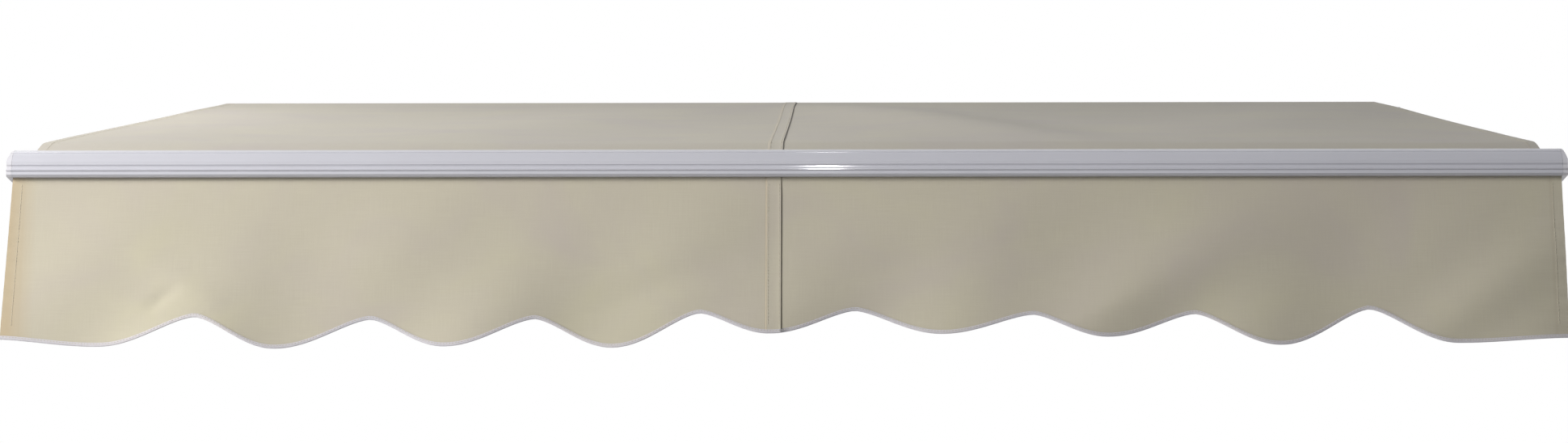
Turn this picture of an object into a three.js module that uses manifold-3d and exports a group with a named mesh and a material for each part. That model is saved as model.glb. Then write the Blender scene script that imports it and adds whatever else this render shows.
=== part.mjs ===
// A patio awning with two folding arms: a cloth on a roller, a front bar and a scalloped valance.
// Millimetres. x runs along the wall, -y points away from it and z is up.
// The origin is on the wall plane, at mid width and at the height of the torsion bar's centre.
import * as THREE from 'three';
import { mergeVertices } from 'three/addons/utils/BufferGeometryUtils.js';
import Module from 'manifold-3d';

const wasm = await Module();
wasm.setup();

// Shared values
const clearance = 0.3;
const boltHead = 5;
const boltRadius = 7;

// Cloth
const fabricWidth = 2400;
const clothThickness = 0.6;
const sideHem = 18;
const seamCentre = -17;
const seamOverlap = 23;
const canopySag = 2;

// Valance: each turn of its cut edge, as a share of the cloth's half width and a drop below the bar
const cutTurns = [
  [-1, 253], [-0.879, 263.5], [-0.757, 219], [-0.656, 267], [-0.532, 222], [-0.436, 265],
  [-0.32, 221.5], [-0.221, 265.5], [-0.108, 213], [-0.02, 245], [0.0905, 208.5], [0.2025, 245.5],
  [0.318, 215.5], [0.413, 250], [0.525, 214.5], [0.633, 263], [0.748, 207], [0.86, 260], [1, 252.5],
];
const valanceWave = 3.5;
const waveGrowth = 222;
const waveLength = 410;
const bindingHeight = 6;
const bindingThickness = 2.4;
const bindingSlotDepth = 4.4;

// Torsion bar
const torsionSide = 40;
const torsionWall = 2.5;
const torsionBeyondPlate = 2;
const torsionFromWall = 60;
const plugFlange = 3;
const plugDepth = 20;

// Wall brackets
const bracketFromShoulder = 130;
const wallBracketWidth = 70;
const wallPlateHeight = 150;
const wallPlateThickness = 8;
const wallHoleRadius = 6;
const wallHoleHeight = 56;
const jawThickness = 6;
const jawLip = 8;
const jawTopReach = 28;

// Roller
const rollerFromWall = 80;
const rollerHeight = 95;
const rollerRadius = 35;
const rollerWall = 1.6;
const rollerBeyondCloth = 6;
const clothRollRadius = 37.8;
const rollerPlugDepth = 20;
const rollerFlange = 2.7;
const axleRadius = 8;
const axleSquare = 10;
const rearKederRadius = 2.6;
const rearKederDepth = 4;
const rearChannelWall = 2;

// Roller brackets
const plateBeyondRoller = 8;
const rollerPlateThickness = 8;
const rollerPlateRadius = 22;
const collarWall = 6;
const collarLength = 24;
const bushRadius = 12;
const bushFlangeRadius = 15;
const bushFlange = 3.4;

// Gearbox with a worm and an eleven toothed wheel
const toothCount = 11;
const gearModule = 3;
const wormPitchRadius = 8;
const wormOuterRadius = 9.8;
const wormRootRadius = 5.6;
const wormLength = 28;
const wormShaftRadius = 5;
const wheelAddendum = 1.8;
const wheelDedendum = 2.9;
const toothShare = 0.3;
const threadShare = 0.3;
const wheelWidth = 9;
const wheelHubRadius = 9;
const gearboxWall = 3.7;
const gearboxDepth = 23.7;
const gearboxCover = 3.7;
const wormRoom = 1.2;
const crankDrop = 62;
const crankEyeRadius = 13;
const crankEyeWire = 3.5;

// Arms
const armPitch = THREE.MathUtils.degToRad(13);
const restAngle = THREE.MathUtils.degToRad(14);
const linkLength = 922.4;
const shoulderFromEnd = 140;
const pitchFromWall = 105;
const knuckleReach = 45;
const wristReach = 42;
const upperWidth = 34;
const upperHeight = 60;
const upperWall = 2.5;
const forearmWidth = 28;
const forearmHeight = 50;
const forearmWall = 2.2;
const linkSideGap = 3;
const profileCorner = 6;

// Arm joints
const pinRadius = 7;
const tongueHalf = 9;
const forkHalf = 24;
const wristTongueHalf = 8;
const wristForkHalf = 20;
const cheekRadius = 18;
const camRadius = 17.7;
const wristRadius = 15;
const shoulderStart = 70;
const elbowStart = 60;
const wristStart = 62;
const webGap = 19;
const linkFlange = 8;
const insertLength = 48;
const pitchPinRadius = 8;
const pitchLugRadius = 16;
const knuckleBossRadius = 15;
const knuckleHalf = 20;
const knuckleWeb = 18;
const clampCheek = 12;
const clampArm = 8;
const clampPlate = 8;
const trunnionRadius = 6;
const trunnionBoss = 11;
const lugRadius = 13;
const lugThickness = 12;
const blockHalf = 12;
const openPivotClearance = 0.8;

// Arm spring and its cable
const springWire = 2;
const springRadius = 9;
const springTurns = 16;
const springPitch = 14;
const springSteps = 8;
const springSeat = 14;
const springSeatRadius = springRadius * Math.cos(Math.PI / springSteps) - springWire - clearance;
const cableRadius = 2;
const cableEndRadius = 11;
const cableEndLength = 8;

// Front bar
const barDepth = 60;
const barHeight = 48;
const barWall = 2.2;
const barGap = 20;
const barBelowPivot = 12;
const capThickness = 8;
const capPlug = 14;
const beadHeight = 10;
const beadRadius = 2;
const coveHeight = 14.8;
const coveRadius = 4.6;
const grooveRadius = 1.1;
const groovePlace = 0.42;
const channelRadius = 4;
const channelWall = 2;
const slitWidth = 2.6;
const canopyChannel = [14, 37];
const valanceChannel = [45, 6.2];
const kederRadius = 3.4;
const bracketPlate = 6;
const bracketHalf = 42;
const bracketTop = 22;
const noseDepth = 38;
const noseShoulder = 9;
const noseBrow = 23;
const capTaper = 6;
const capTaperHeight = 28;

// Lengths along the wall, which follow the cloth's width
const clothHalf = fabricWidth / 2;
const rollerHalf = clothHalf + rollerBeyondCloth;
const rollerPlateX = rollerHalf + plateBeyondRoller;
const torsionHalf = rollerPlateX + rollerPlateThickness + torsionBeyondPlate;
const shoulderX = clothHalf - shoulderFromEnd;
const wallBracketX = shoulderX - bracketFromShoulder;
const barHalf = clothHalf;

const white = new THREE.MeshStandardMaterial({ color: 0xdcdde2, roughness: 0.42, metalness: 0.1 });
const cast = new THREE.MeshStandardMaterial({ color: 0xd2d3d6, roughness: 0.5, metalness: 0.15 });
const steel = new THREE.MeshStandardMaterial({ color: 0xa4a6a8, roughness: 0.35, metalness: 0.9 });
const zinc = new THREE.MeshStandardMaterial({ color: 0xb4b6b4, roughness: 0.45, metalness: 0.8 });
const plastic = new THREE.MeshStandardMaterial({ color: 0xdadbe0, roughness: 0.5, metalness: 0 });
const nylon = new THREE.MeshStandardMaterial({ color: 0x33353a, roughness: 0.6, metalness: 0 });
const cloth = new THREE.MeshStandardMaterial({ color: 0xbdb49f, roughness: 0.9, metalness: 0 });
const tape = new THREE.MeshStandardMaterial({ color: 0xe2e0e0, roughness: 0.85, metalness: 0 });

// Outlines in a plane
function circle(u, v, radius, sides = 16) {
  const points = [];
  for (let i = 0; i < sides; i += 1) {
    const turn = ((i + 0.5) * 2 * Math.PI) / sides;
    points.push([u + radius * Math.cos(turn), v + radius * Math.sin(turn)]);
  }
  return points;
}

function rectangle([u0, u1], [v0, v1]) {
  return [[u0, v0], [u1, v0], [u1, v1], [u0, v1]];
}

function roundedRectangle(u, width, height, radius) {
  const points = [];
  for (const [side, end, start] of [[1, 1, 0], [-1, 1, 1], [-1, -1, 2], [1, -1, 3]]) {
    for (let i = 0; i <= 3; i += 1) {
      const turn = ((start + i / 3) * Math.PI) / 2;
      const across = side * (width / 2 - radius) + radius * Math.cos(turn);
      points.push([u + across, end * (height / 2 - radius) + radius * Math.sin(turn)]);
    }
  }
  return points;
}

function turnDirection(a, b, c) {
  return (b[0] - a[0]) * (c[1] - a[1]) - (b[1] - a[1]) * (c[0] - a[0]);
}

// The convex outline around a set of points, anticlockwise
function hull(points) {
  const sorted = [...points].sort((a, b) => a[0] - b[0] || a[1] - b[1]);
  const half = (list) => {
    const kept = [];
    for (const p of list) {
      while (kept.length > 1 && turnDirection(kept.at(-2), kept.at(-1), p) <= 1e-9) kept.pop();
      kept.push(p);
    }
    return kept.slice(0, -1);
  };
  return [...half(sorted), ...half(sorted.reverse())];
}

// A convex anticlockwise outline moved inwards by a wall
function inset(outline, wall) {
  const edges = outline.map((a, i) => {
    const b = outline[(i + 1) % outline.length];
    const length = Math.hypot(b[0] - a[0], b[1] - a[1]);
    const normal = [(a[1] - b[1]) / length, (b[0] - a[0]) / length];
    return { normal, level: normal[0] * a[0] + normal[1] * a[1] + wall };
  });
  return edges.map((edge, i) => {
    const last = edges[(i + edges.length - 1) % edges.length];
    const det = last.normal[0] * edge.normal[1] - last.normal[1] * edge.normal[0];
    return [
      (last.level * edge.normal[1] - edge.level * last.normal[1]) / det,
      (edge.level * last.normal[0] - last.level * edge.normal[0]) / det,
    ];
  });
}

// Solids
function solid(geometry) {
  geometry.deleteAttribute('normal');
  geometry.deleteAttribute('uv');
  const merged = mergeVertices(geometry, 1e-4);
  const vertProperties = new Float32Array(merged.attributes.position.array);
  const triVerts = new Uint32Array(merged.index.array);
  return new wasm.Manifold(new wasm.Mesh({ numProp: 3, vertProperties, triVerts }));
}

const alongAxis = {
  x: new THREE.Matrix4().set(0, 0, 1, 0, 1, 0, 0, 0, 0, 1, 0, 0, 0, 0, 0, 1),
  y: new THREE.Matrix4().set(1, 0, 0, 0, 0, 0, -1, 0, 0, 1, 0, 0, 0, 0, 0, 1),
  z: new THREE.Matrix4(),
};

// An outline in the two other axes, in the order y z, x z or x y, drawn out along one axis
function prism(axis, outline, from, to, steps = 1) {
  const low = Math.min(from, to);
  const high = Math.max(from, to);
  const shape = new THREE.Shape(outline.map(([u, v]) => new THREE.Vector2(u, v)));
  const geometry = new THREE.ExtrudeGeometry(shape, { depth: high - low, bevelEnabled: false, steps });
  geometry.translate(0, 0, axis === 'y' ? -high : low);
  geometry.applyMatrix4(alongAxis[axis]);
  return solid(geometry);
}

function box([x0, x1], [y0, y1], [z0, z1]) {
  const geometry = new THREE.BoxGeometry(Math.abs(x1 - x0), Math.abs(y1 - y0), Math.abs(z1 - z0));
  return solid(geometry.translate((x0 + x1) / 2, (y0 + y1) / 2, (z0 + z1) / 2));
}

function rod(axis, [u, v], radius, from, to, sides = 16) {
  return prism(axis, circle(u, v, radius, sides), from, to);
}

function join(first, ...others) {
  return others.reduce((sum, other) => sum.add(other), first);
}

function cut(first, ...others) {
  return others.reduce((rest, other) => rest.subtract(other), first);
}

// A closed skin between two grids of points, such as the two faces of a cloth
function slab(columns, rows, face) {
  const positions = [];
  const triangles = [];
  const count = columns.length * rows.length;
  for (const side of [0, 1]) {
    for (const row of rows) {
      for (const column of columns) positions.push(...face(column, row, side));
    }
  }
  const at = (i, j, side) => side * count + j * columns.length + i;
  const quad = (a, b, c, d) => triangles.push(a, b, c, a, c, d);
  for (let j = 0; j + 1 < rows.length; j += 1) {
    for (let i = 0; i + 1 < columns.length; i += 1) {
      quad(at(i, j, 1), at(i + 1, j, 1), at(i + 1, j + 1, 1), at(i, j + 1, 1));
      quad(at(i, j, 0), at(i, j + 1, 0), at(i + 1, j + 1, 0), at(i + 1, j, 0));
    }
    const end = columns.length - 1;
    quad(at(0, j, 0), at(0, j, 1), at(0, j + 1, 1), at(0, j + 1, 0));
    quad(at(end, j, 1), at(end, j, 0), at(end, j + 1, 0), at(end, j + 1, 1));
  }
  for (let i = 0; i + 1 < columns.length; i += 1) {
    const top = rows.length - 1;
    quad(at(i, 0, 0), at(i + 1, 0, 0), at(i + 1, 0, 1), at(i, 0, 1));
    quad(at(i + 1, top, 0), at(i, top, 0), at(i, top, 1), at(i + 1, top, 1));
  }
  const geometry = new THREE.BufferGeometry();
  geometry.setAttribute('position', new THREE.Float32BufferAttribute(positions, 3));
  geometry.setIndex(triangles);
  return solid(geometry);
}

function add(parent, name, body, material) {
  const mesh = body.getMesh();
  const geometry = new THREE.BufferGeometry();
  geometry.setAttribute('position', new THREE.BufferAttribute(mesh.vertProperties, 3));
  geometry.setIndex(new THREE.BufferAttribute(mesh.triVerts, 1));
  const flat = geometry.toNonIndexed();
  flat.computeVertexNormals();
  const node = new THREE.Mesh(flat, material);
  node.name = name;
  parent.add(node);
  return node;
}

function hexHead(axis, centre, from, to) {
  return rod(axis, centre, boltRadius, from, to, 6);
}

const awning = new THREE.Group();
const sides = [['left', -1], ['right', 1]];

// Torsion bar and its end plugs
const torsionY = -torsionFromWall;
const torsionFront = torsionY - torsionSide / 2;
const torsionBack = torsionY + torsionSide / 2;

function torsionSquare(growth) {
  const half = torsionSide / 2 + growth;
  return rectangle([torsionY - half, torsionY + half], [-half, half]);
}

add(
  awning,
  'torsion_bar',
  cut(
    prism('x', torsionSquare(0), -torsionHalf, torsionHalf),
    prism('x', torsionSquare(-torsionWall), -torsionHalf - 1, torsionHalf + 1),
  ),
  white,
);

for (const [name, side] of sides) {
  const seat = side * (torsionHalf + clearance);
  add(
    awning,
    `bar_plug_${name}`,
    join(
      prism('x', torsionSquare(0), seat, seat + side * plugFlange),
      prism('x', torsionSquare(-torsionWall - clearance), seat - side * plugDepth, seat + side),
    ),
    plastic,
  );
}

// Wall brackets: a plate with a jaw that grips the torsion bar
const jawInside = torsionSide / 2 + clearance;
const jawOutside = jawInside + jawThickness;
const jawOutline = [
  [0, -wallPlateHeight / 2],
  [0, wallPlateHeight / 2],
  [-wallPlateThickness, wallPlateHeight / 2],
  [-wallPlateThickness, jawOutside],
  [torsionBack - jawTopReach, jawOutside],
  [torsionBack - jawTopReach, jawInside],
  [torsionBack + clearance, jawInside],
  [torsionBack + clearance, -jawInside],
  [torsionFront - clearance, -jawInside],
  [torsionFront - clearance, -jawInside + jawLip],
  [torsionFront - clearance - jawThickness, -jawInside + jawLip],
  [torsionFront - clearance - jawThickness, -jawOutside],
  [-wallPlateThickness, -jawOutside],
  [-wallPlateThickness, -wallPlateHeight / 2],
];

for (const [name, side] of sides) {
  const x = side * wallBracketX;
  const half = wallBracketWidth / 2;
  let bracket = prism('x', jawOutline, x - half, x + half);
  for (const z of [-wallHoleHeight, wallHoleHeight]) {
    bracket = cut(bracket, rod('y', [x, z], wallHoleRadius, -wallPlateThickness - 1, 1));
  }
  const bolt = hexHead('z', [x, torsionBack - jawTopReach / 2], jawOutside - 1, jawOutside + boltHead);
  add(awning, `wall_bracket_${name}`, join(bracket, bolt), white);
}

// Roller brackets: a plate that carries the roller's axle, with a collar on the torsion bar
const rollerY = -rollerFromWall;
const rollerCentre = [rollerY, rollerHeight];
const collarHalf = torsionSide / 2 + clearance + collarWall;
const collarOutline = rectangle([torsionY - collarHalf, torsionY + collarHalf], [-collarHalf, collarHalf]);
const plateOutline = hull([...collarOutline, ...circle(...rollerCentre, rollerPlateRadius)]);
const plateOuter = rollerPlateX + rollerPlateThickness;

for (const [name, side] of sides) {
  const holeRadius = side < 0 ? bushRadius : axleRadius;
  const body = join(
    prism('x', plateOutline, side * rollerPlateX, side * plateOuter),
    prism('x', collarOutline, side * (rollerPlateX - collarLength), side * (rollerPlateX + 1)),
    hexHead('z', [side * (rollerPlateX - collarLength / 2), torsionY], collarHalf - 1, collarHalf + boltHead),
  );
  const far = side * (plateOuter + 1);
  add(
    awning,
    `roller_bracket_${name}`,
    cut(
      body,
      prism('x', torsionSquare(clearance), side * (rollerPlateX - collarLength - 1), far),
      rod('x', rollerCentre, holeRadius + clearance, side * (rollerPlateX - 1), far),
    ),
    white,
  );
}

const bushInner = -(rollerPlateX - clearance - bushFlange);
add(
  awning,
  'roller_bush_left',
  cut(
    join(
      rod('x', rollerCentre, bushFlangeRadius, -(rollerPlateX - clearance), bushInner),
      rod('x', rollerCentre, bushRadius, -plateOuter, bushInner),
    ),
    rod('x', rollerCentre, axleRadius + clearance, -plateOuter - 1, bushInner + 1),
  ),
  nylon,
);

// Roller tube with a channel for the cloth's rear keder
const rollerBore = rollerRadius - rollerWall;
const channelHole = rearKederRadius + clearance;
const rearKederZ = rollerHeight - rollerRadius + rearKederDepth;
const rearKederCentre = [rollerY, rearKederZ];
const rearChannelOuter = channelHole + rearChannelWall;
const rearBoss = rod('x', rearKederCentre, rearChannelOuter, -rollerHalf, rollerHalf, 16);
const rollerShell = rod('x', rollerCentre, rollerRadius, -rollerHalf, rollerHalf, 32);
const rearSlit = clothThickness + clearance;
add(
  awning,
  'roller_tube',
  cut(
    join(
      cut(rollerShell, rod('x', rollerCentre, rollerBore, -rollerHalf - 1, rollerHalf + 1, 32)),
      rollerShell.intersect(rearBoss),
    ),
    rod('x', rearKederCentre, channelHole, -rollerHalf - 1, rollerHalf + 1, 12),
    box(
      [-rollerHalf - 1, rollerHalf + 1],
      [rollerY - rearSlit, rollerY + rearSlit],
      [rearKederZ - rollerRadius, rearKederZ],
    ),
  ),
  steel,
);
add(
  awning,
  'rear_keder',
  rod('x', rearKederCentre, rearKederRadius, -clothHalf, clothHalf, 10),
  tape,
);
add(
  awning,
  'cloth_roll',
  cut(
    rod('x', rollerCentre, clothRollRadius, -clothHalf, clothHalf, 36),
    rod('x', rollerCentre, rollerRadius + clearance, -clothHalf - 1, clothHalf + 1, 32),
  ),
  cloth,
);

// Roller ends: the left one turns in the bush and the right one carries the worm wheel
const gearboxInner = plateOuter + clearance;
const gearboxFace = gearboxInner + gearboxDepth;
const wheelMiddle = gearboxInner + gearboxWall + (gearboxDepth - gearboxWall) / 2;
const squareStart = wheelMiddle - wheelWidth / 2 - 1;
const endSeat = rollerHalf + clearance;

function rollerEnd(side) {
  const plug = cut(
    rod('x', rollerCentre, rollerBore - clearance, side * (rollerHalf - rollerPlugDepth), side * endSeat, 32),
    rod('x', rearKederCentre, rearChannelOuter + clearance, 0, side * rollerHalf, 16),
  );
  const flangeEnd = endSeat + rollerFlange;
  const flange = rod('x', rollerCentre, rollerRadius, side * endSeat, side * flangeEnd, 32);
  const axleEnd = side < 0 ? plateOuter + 5 : squareStart;
  return join(plug, flange, rod('x', rollerCentre, axleRadius, side * flangeEnd, side * axleEnd));
}

function axleKey(growth) {
  const half = axleSquare / 2 + growth;
  return rectangle([rollerY - half, rollerY + half], [rollerHeight - half, rollerHeight + half]);
}

add(awning, 'roller_end_left', rollerEnd(-1), cast);
const keyEnd = wheelMiddle + wheelWidth / 2 + 2;
const rightEnd = join(rollerEnd(1), prism('x', axleKey(0), squareStart - 1, keyEnd));
add(awning, 'roller_end_right', rightEnd, cast);

// Worm wheel: straight flanked teeth turned to the slant of the worm's thread
const wheelPitchRadius = (toothCount * gearModule) / 2;
const wormDistance = wheelPitchRadius + wormPitchRadius;
const wormY = rollerY - wormDistance;
const wormLead = Math.PI * gearModule;
const toothPitch = (2 * Math.PI) / toothCount;

function wheelOutline() {
  const points = [];
  const tip = wheelPitchRadius + wheelAddendum;
  const root = wheelPitchRadius - wheelDedendum;
  const half = (toothShare * toothPitch) / 2;
  for (let i = 0; i < toothCount; i += 1) {
    // A gap faces the worm, which lies on the -y side
    const middle = Math.PI + (i + 0.5) * toothPitch;
    for (const [turn, radius] of [[-1.7, root], [-0.62, tip], [0.62, tip], [1.7, root]]) {
      points.push([radius * Math.cos(middle + turn * half), radius * Math.sin(middle + turn * half)]);
    }
  }
  return points;
}

function wormWheel() {
  const shape = new THREE.Shape(wheelOutline().map(([u, v]) => new THREE.Vector2(u, v)));
  const settings = { depth: wheelWidth, bevelEnabled: false, steps: 3 };
  const geometry = new THREE.ExtrudeGeometry(shape, settings).translate(0, 0, -wheelWidth / 2);
  const slant = wormLead / (2 * Math.PI * wormPitchRadius) / wheelPitchRadius;
  const position = geometry.attributes.position;
  const point = new THREE.Vector3();
  for (let i = 0; i < position.count; i += 1) {
    point.fromBufferAttribute(position, i);
    point.applyAxisAngle(new THREE.Vector3(0, 0, 1), slant * point.z);
    position.setXYZ(i, point.x, point.y, point.z);
  }
  geometry.applyMatrix4(alongAxis.x).translate(wheelMiddle, rollerY, rollerHeight);
  const hubFrom = gearboxInner + gearboxWall + clearance;
  const hub = rod('x', rollerCentre, wheelHubRadius, hubFrom, wheelMiddle + wheelWidth / 2 + 1.5);
  const bore = prism('x', axleKey(clearance), squareStart, keyEnd + 1);
  const relief = rod('x', rollerCentre, axleRadius + clearance, hubFrom - 1, squareStart + clearance);
  return cut(join(solid(geometry), hub), bore, relief);
}

add(awning, 'worm_wheel', wormWheel(), zinc);

// Worm: a shaft whose radius follows one right hand thread, with the crank's eye below
function wormThread() {
  const around = 14;
  const stepLength = wormLead / 8;
  const steps = Math.round(wormLength / stepLength);
  const positions = [];
  const triangles = [];
  for (let j = 0; j <= steps; j += 1) {
    const z = -wormLength / 2 + (j * wormLength) / steps;
    for (let i = 0; i < around; i += 1) {
      const turn = (i * 2 * Math.PI) / around;
      const phase = z / wormLead - turn / (2 * Math.PI);
      const offset = Math.abs(phase - Math.round(phase)) * 2;
      const flank = THREE.MathUtils.clamp((threadShare * 1.5 - offset) / threadShare, 0, 1);
      const radius = wormRootRadius + (wormOuterRadius - wormRootRadius) * flank;
      positions.push(radius * Math.cos(turn), radius * Math.sin(turn), z);
    }
  }
  const low = positions.push(0, 0, -wormLength / 2) / 3 - 1;
  const high = positions.push(0, 0, wormLength / 2) / 3 - 1;
  for (let i = 0; i < around; i += 1) {
    const next = (i + 1) % around;
    for (let j = 0; j < steps; j += 1) {
      const a = j * around + i;
      const b = j * around + next;
      triangles.push(a, b, b + around, a, b + around, a + around);
    }
    triangles.push(low, next, i, high, steps * around + i, steps * around + next);
  }
  const geometry = new THREE.BufferGeometry();
  geometry.setAttribute('position', new THREE.Float32BufferAttribute(positions, 3));
  geometry.setIndex(triangles);
  // The thread's ridge starts on the side that faces the wheel
  geometry.rotateZ(Math.PI / 2).translate(wheelMiddle, wormY, rollerHeight);
  return solid(geometry);
}

const gearboxHalfHeight = wheelPitchRadius + wheelAddendum + wormRoom + gearboxWall;
const wormCavityHalf = wormLength / 2 + wormRoom;
const shaftTop = rollerHeight + wormCavityHalf + gearboxWall / 2;
const eyeCentre = rollerHeight - crankDrop;
const eyeTorus = new THREE.TorusGeometry(crankEyeRadius, crankEyeWire, 6, 16).rotateY(Math.PI / 2);
add(
  awning,
  'worm_shaft',
  join(
    wormThread(),
    rod('z', [wheelMiddle, wormY], wormShaftRadius, eyeCentre + crankEyeRadius, shaftTop),
    solid(eyeTorus.translate(wheelMiddle, wormY, eyeCentre)),
  ),
  zinc,
);

// Gearbox: an open tray on the right bracket, closed by a cover
const gearboxBack = rollerY + gearboxHalfHeight;
const wormCavityRadius = wormOuterRadius + wormRoom;
const gearboxFront = wormY - wormCavityRadius - gearboxWall;
const gearboxFrontHalf = wormCavityHalf + gearboxWall;
const gearboxOutline = hull([
  ...circle(rollerY, rollerHeight, gearboxHalfHeight, 32),
  [gearboxFront, rollerHeight - gearboxFrontHalf],
  [gearboxFront, rollerHeight + gearboxFrontHalf],
  [gearboxBack, rollerHeight - gearboxFrontHalf],
  [gearboxBack, rollerHeight + gearboxFrontHalf],
]);
const cavityStart = gearboxInner + gearboxWall;
const wheelCavity = wheelPitchRadius + wheelAddendum + wormRoom;
add(
  awning,
  'gearbox_housing',
  cut(
    prism('x', gearboxOutline, gearboxInner, gearboxFace),
    rod('x', rollerCentre, wheelCavity, cavityStart, gearboxFace + 1, 32),
    box(
      [cavityStart, gearboxFace + 1],
      [wormY - wormCavityRadius, wormY + wormCavityRadius],
      [rollerHeight - wormCavityHalf, rollerHeight + wormCavityHalf],
    ),
    rod('x', rollerCentre, axleRadius + clearance, gearboxInner - 1, cavityStart + 1),
    rod('z', [wheelMiddle, wormY], wormShaftRadius + clearance, 0, shaftTop + clearance),
  ),
  plastic,
);

const coverSeat = gearboxFace + clearance;
let cover = prism('x', gearboxOutline, coverSeat, coverSeat + gearboxCover);
for (const y of [gearboxFront + boltRadius, gearboxBack - boltRadius]) {
  for (const z of [-1, 1]) {
    const centre = [y, rollerHeight + z * (gearboxFrontHalf - boltRadius)];
    cover = join(cover, rod('x', centre, boltRadius / 2, coverSeat, coverSeat + gearboxCover + 2, 12));
  }
}
add(awning, 'gearbox_cover', cover, plastic);

// Shoulder clamps on the torsion bar, with lugs for the pitch pin
const pitchY = -pitchFromWall;
const clampHalf = knuckleHalf + 2 + clearance;
const clampOuter = clampHalf + clampCheek;
const clampInside = torsionSide / 2 + clearance;
const clampOutside = clampInside + clampArm;
const clampFront = torsionFront - clearance;
const clampWebFront = pitchY + knuckleBossRadius + 3;
const lugOutline = hull([
  ...circle(pitchY, 0, pitchLugRadius),
  [clampFront, -clampOutside],
  [clampFront, clampOutside],
]);

for (const [name, side] of sides) {
  const x = side * shoulderX;
  const body = join(
    prism('x', lugOutline, x - clampOuter, x - clampHalf),
    prism('x', lugOutline, x + clampHalf, x + clampOuter),
    box([x - clampOuter, x + clampOuter], [clampWebFront, clampFront], [-clampOutside, clampOutside]),
    box([x - clampOuter, x + clampOuter], [clampFront - 1, torsionBack], [clampInside, clampOutside]),
    box([x - clampOuter, x + clampOuter], [clampFront - 1, torsionBack], [-clampOutside, -clampInside]),
  );
  const pinHole = rod('x', [pitchY, 0], pitchPinRadius + clearance, x - clampOuter - 1, x + clampOuter + 1);
  add(awning, `${name}_shoulder_clamp`, cut(body, pinHole), cast);

  const plateFrom = torsionBack + clearance;
  let plate = box(
    [x - clampOuter, x + clampOuter],
    [plateFrom, plateFrom + clampPlate],
    [-clampOutside, clampOutside],
  );
  for (const across of [-1, 1]) {
    for (const up of [-1, 1]) {
      const centre = [x + across * (clampOuter - 10), up * (clampOutside - 9)];
      plate = join(plate, hexHead('y', centre, plateFrom + 1, plateFrom + clampPlate + boltHead));
    }
  }
  add(awning, `${name}_clamp_plate`, plate, zinc);

  const headSeat = clampOuter + clearance;
  add(
    awning,
    `${name}_pitch_pin`,
    join(
      rod('x', [pitchY, 0], pitchPinRadius, x - headSeat - 1, x + headSeat + 1),
      rod('x', [pitchY, 0], pitchPinRadius + 4, x + headSeat, x + headSeat + boltHead, 6),
      rod('x', [pitchY, 0], pitchPinRadius + 4, x - headSeat - boltHead, x - headSeat, 6),
    ),
    zinc,
  );
}

// Folding arms, drawn in the plane that they fold in
const linkRun = 2 * linkLength * Math.cos(restAngle);
const pivotReach = knuckleReach + linkRun + wristReach;

function pin(halfHeight) {
  const seat = halfHeight + clearance;
  return join(
    rod('z', [0, 0], pinRadius, -seat - 3, seat + boltHead),
    rod('z', [0, 0], pinRadius + 4, seat, seat + boltHead),
    rod('z', [0, 0], pinRadius + 3, -seat - 3, -seat),
  );
}

// The end of a link: a boss around a pin at a place on the line, drawn out to the link's section
function linkEnd(inward, width, place, start, radius, half) {
  const near = inward * linkSideGap;
  const far = inward * (linkSideGap + width);
  const outline = hull([...circle(0, place, radius, 20), [near, start], [far, start]]);
  return prism('z', outline, -half, half);
}

// The flange and the insert that close a link's section
function linkInsert(inward, width, height, wall, start, into) {
  const centre = inward * (linkSideGap + width / 2);
  const near = inward * linkSideGap;
  const far = inward * (linkSideGap + width);
  const loss = 2 * (wall + clearance);
  const insert = roundedRectangle(centre, width - loss, height - loss, profileCorner - wall);
  return join(
    box([near, far], [start, start - into * linkFlange], [-height / 2, height / 2]),
    prism('y', insert, start - into, start + into * insertLength),
  );
}

function linkProfile(inward, width, height, wall, rear, front) {
  const centre = inward * (linkSideGap + width / 2);
  const inner = roundedRectangle(centre, width - 2 * wall, height - 2 * wall, profileCorner - wall);
  return cut(
    prism('y', roundedRectangle(centre, width, height, profileCorner), front, rear),
    prism('y', inner, front - 1, rear + 1),
  );
}

class Helix extends THREE.Curve {
  constructor(centreX, startY) {
    super();
    this.centreX = centreX;
    this.startY = startY;
  }

  getPoint(t, target = new THREE.Vector3()) {
    const turn = t * springTurns * 2 * Math.PI;
    const x = this.centreX + springRadius * Math.cos(turn);
    const y = this.startY - t * springTurns * springPitch;
    return target.set(x, y, springRadius * Math.sin(turn));
  }
}

function armSpring(centreX, startY) {
  const section = new THREE.Shape(circle(0, 0, springWire, 4).map(([u, v]) => new THREE.Vector2(u, v)));
  const extrudePath = new Helix(centreX, startY);
  return solid(new THREE.ExtrudeGeometry(section, { extrudePath, steps: springTurns * springSteps }));
}

function shoulderKnuckle() {
  const cheek = hull([
    ...circle(0, -knuckleReach, cheekRadius),
    ...rectangle([-knuckleHalf, knuckleHalf], [-knuckleWeb, 0]),
  ]);
  return cut(
    join(
      box([-knuckleHalf, knuckleHalf], [-knuckleWeb, 0], [-forkHalf, forkHalf]),
      rod('x', [0, 0], knuckleBossRadius, -clampHalf + clearance, clampHalf - clearance),
      prism('z', cheek, tongueHalf + clearance, forkHalf),
      prism('z', cheek, -forkHalf, -tongueHalf - clearance),
    ),
    rod('x', [0, 0], pitchPinRadius + clearance, -clampHalf, clampHalf),
    rod('z', [0, -knuckleReach], pinRadius + clearance, -forkHalf - 1, forkHalf + 1),
  );
}

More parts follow.
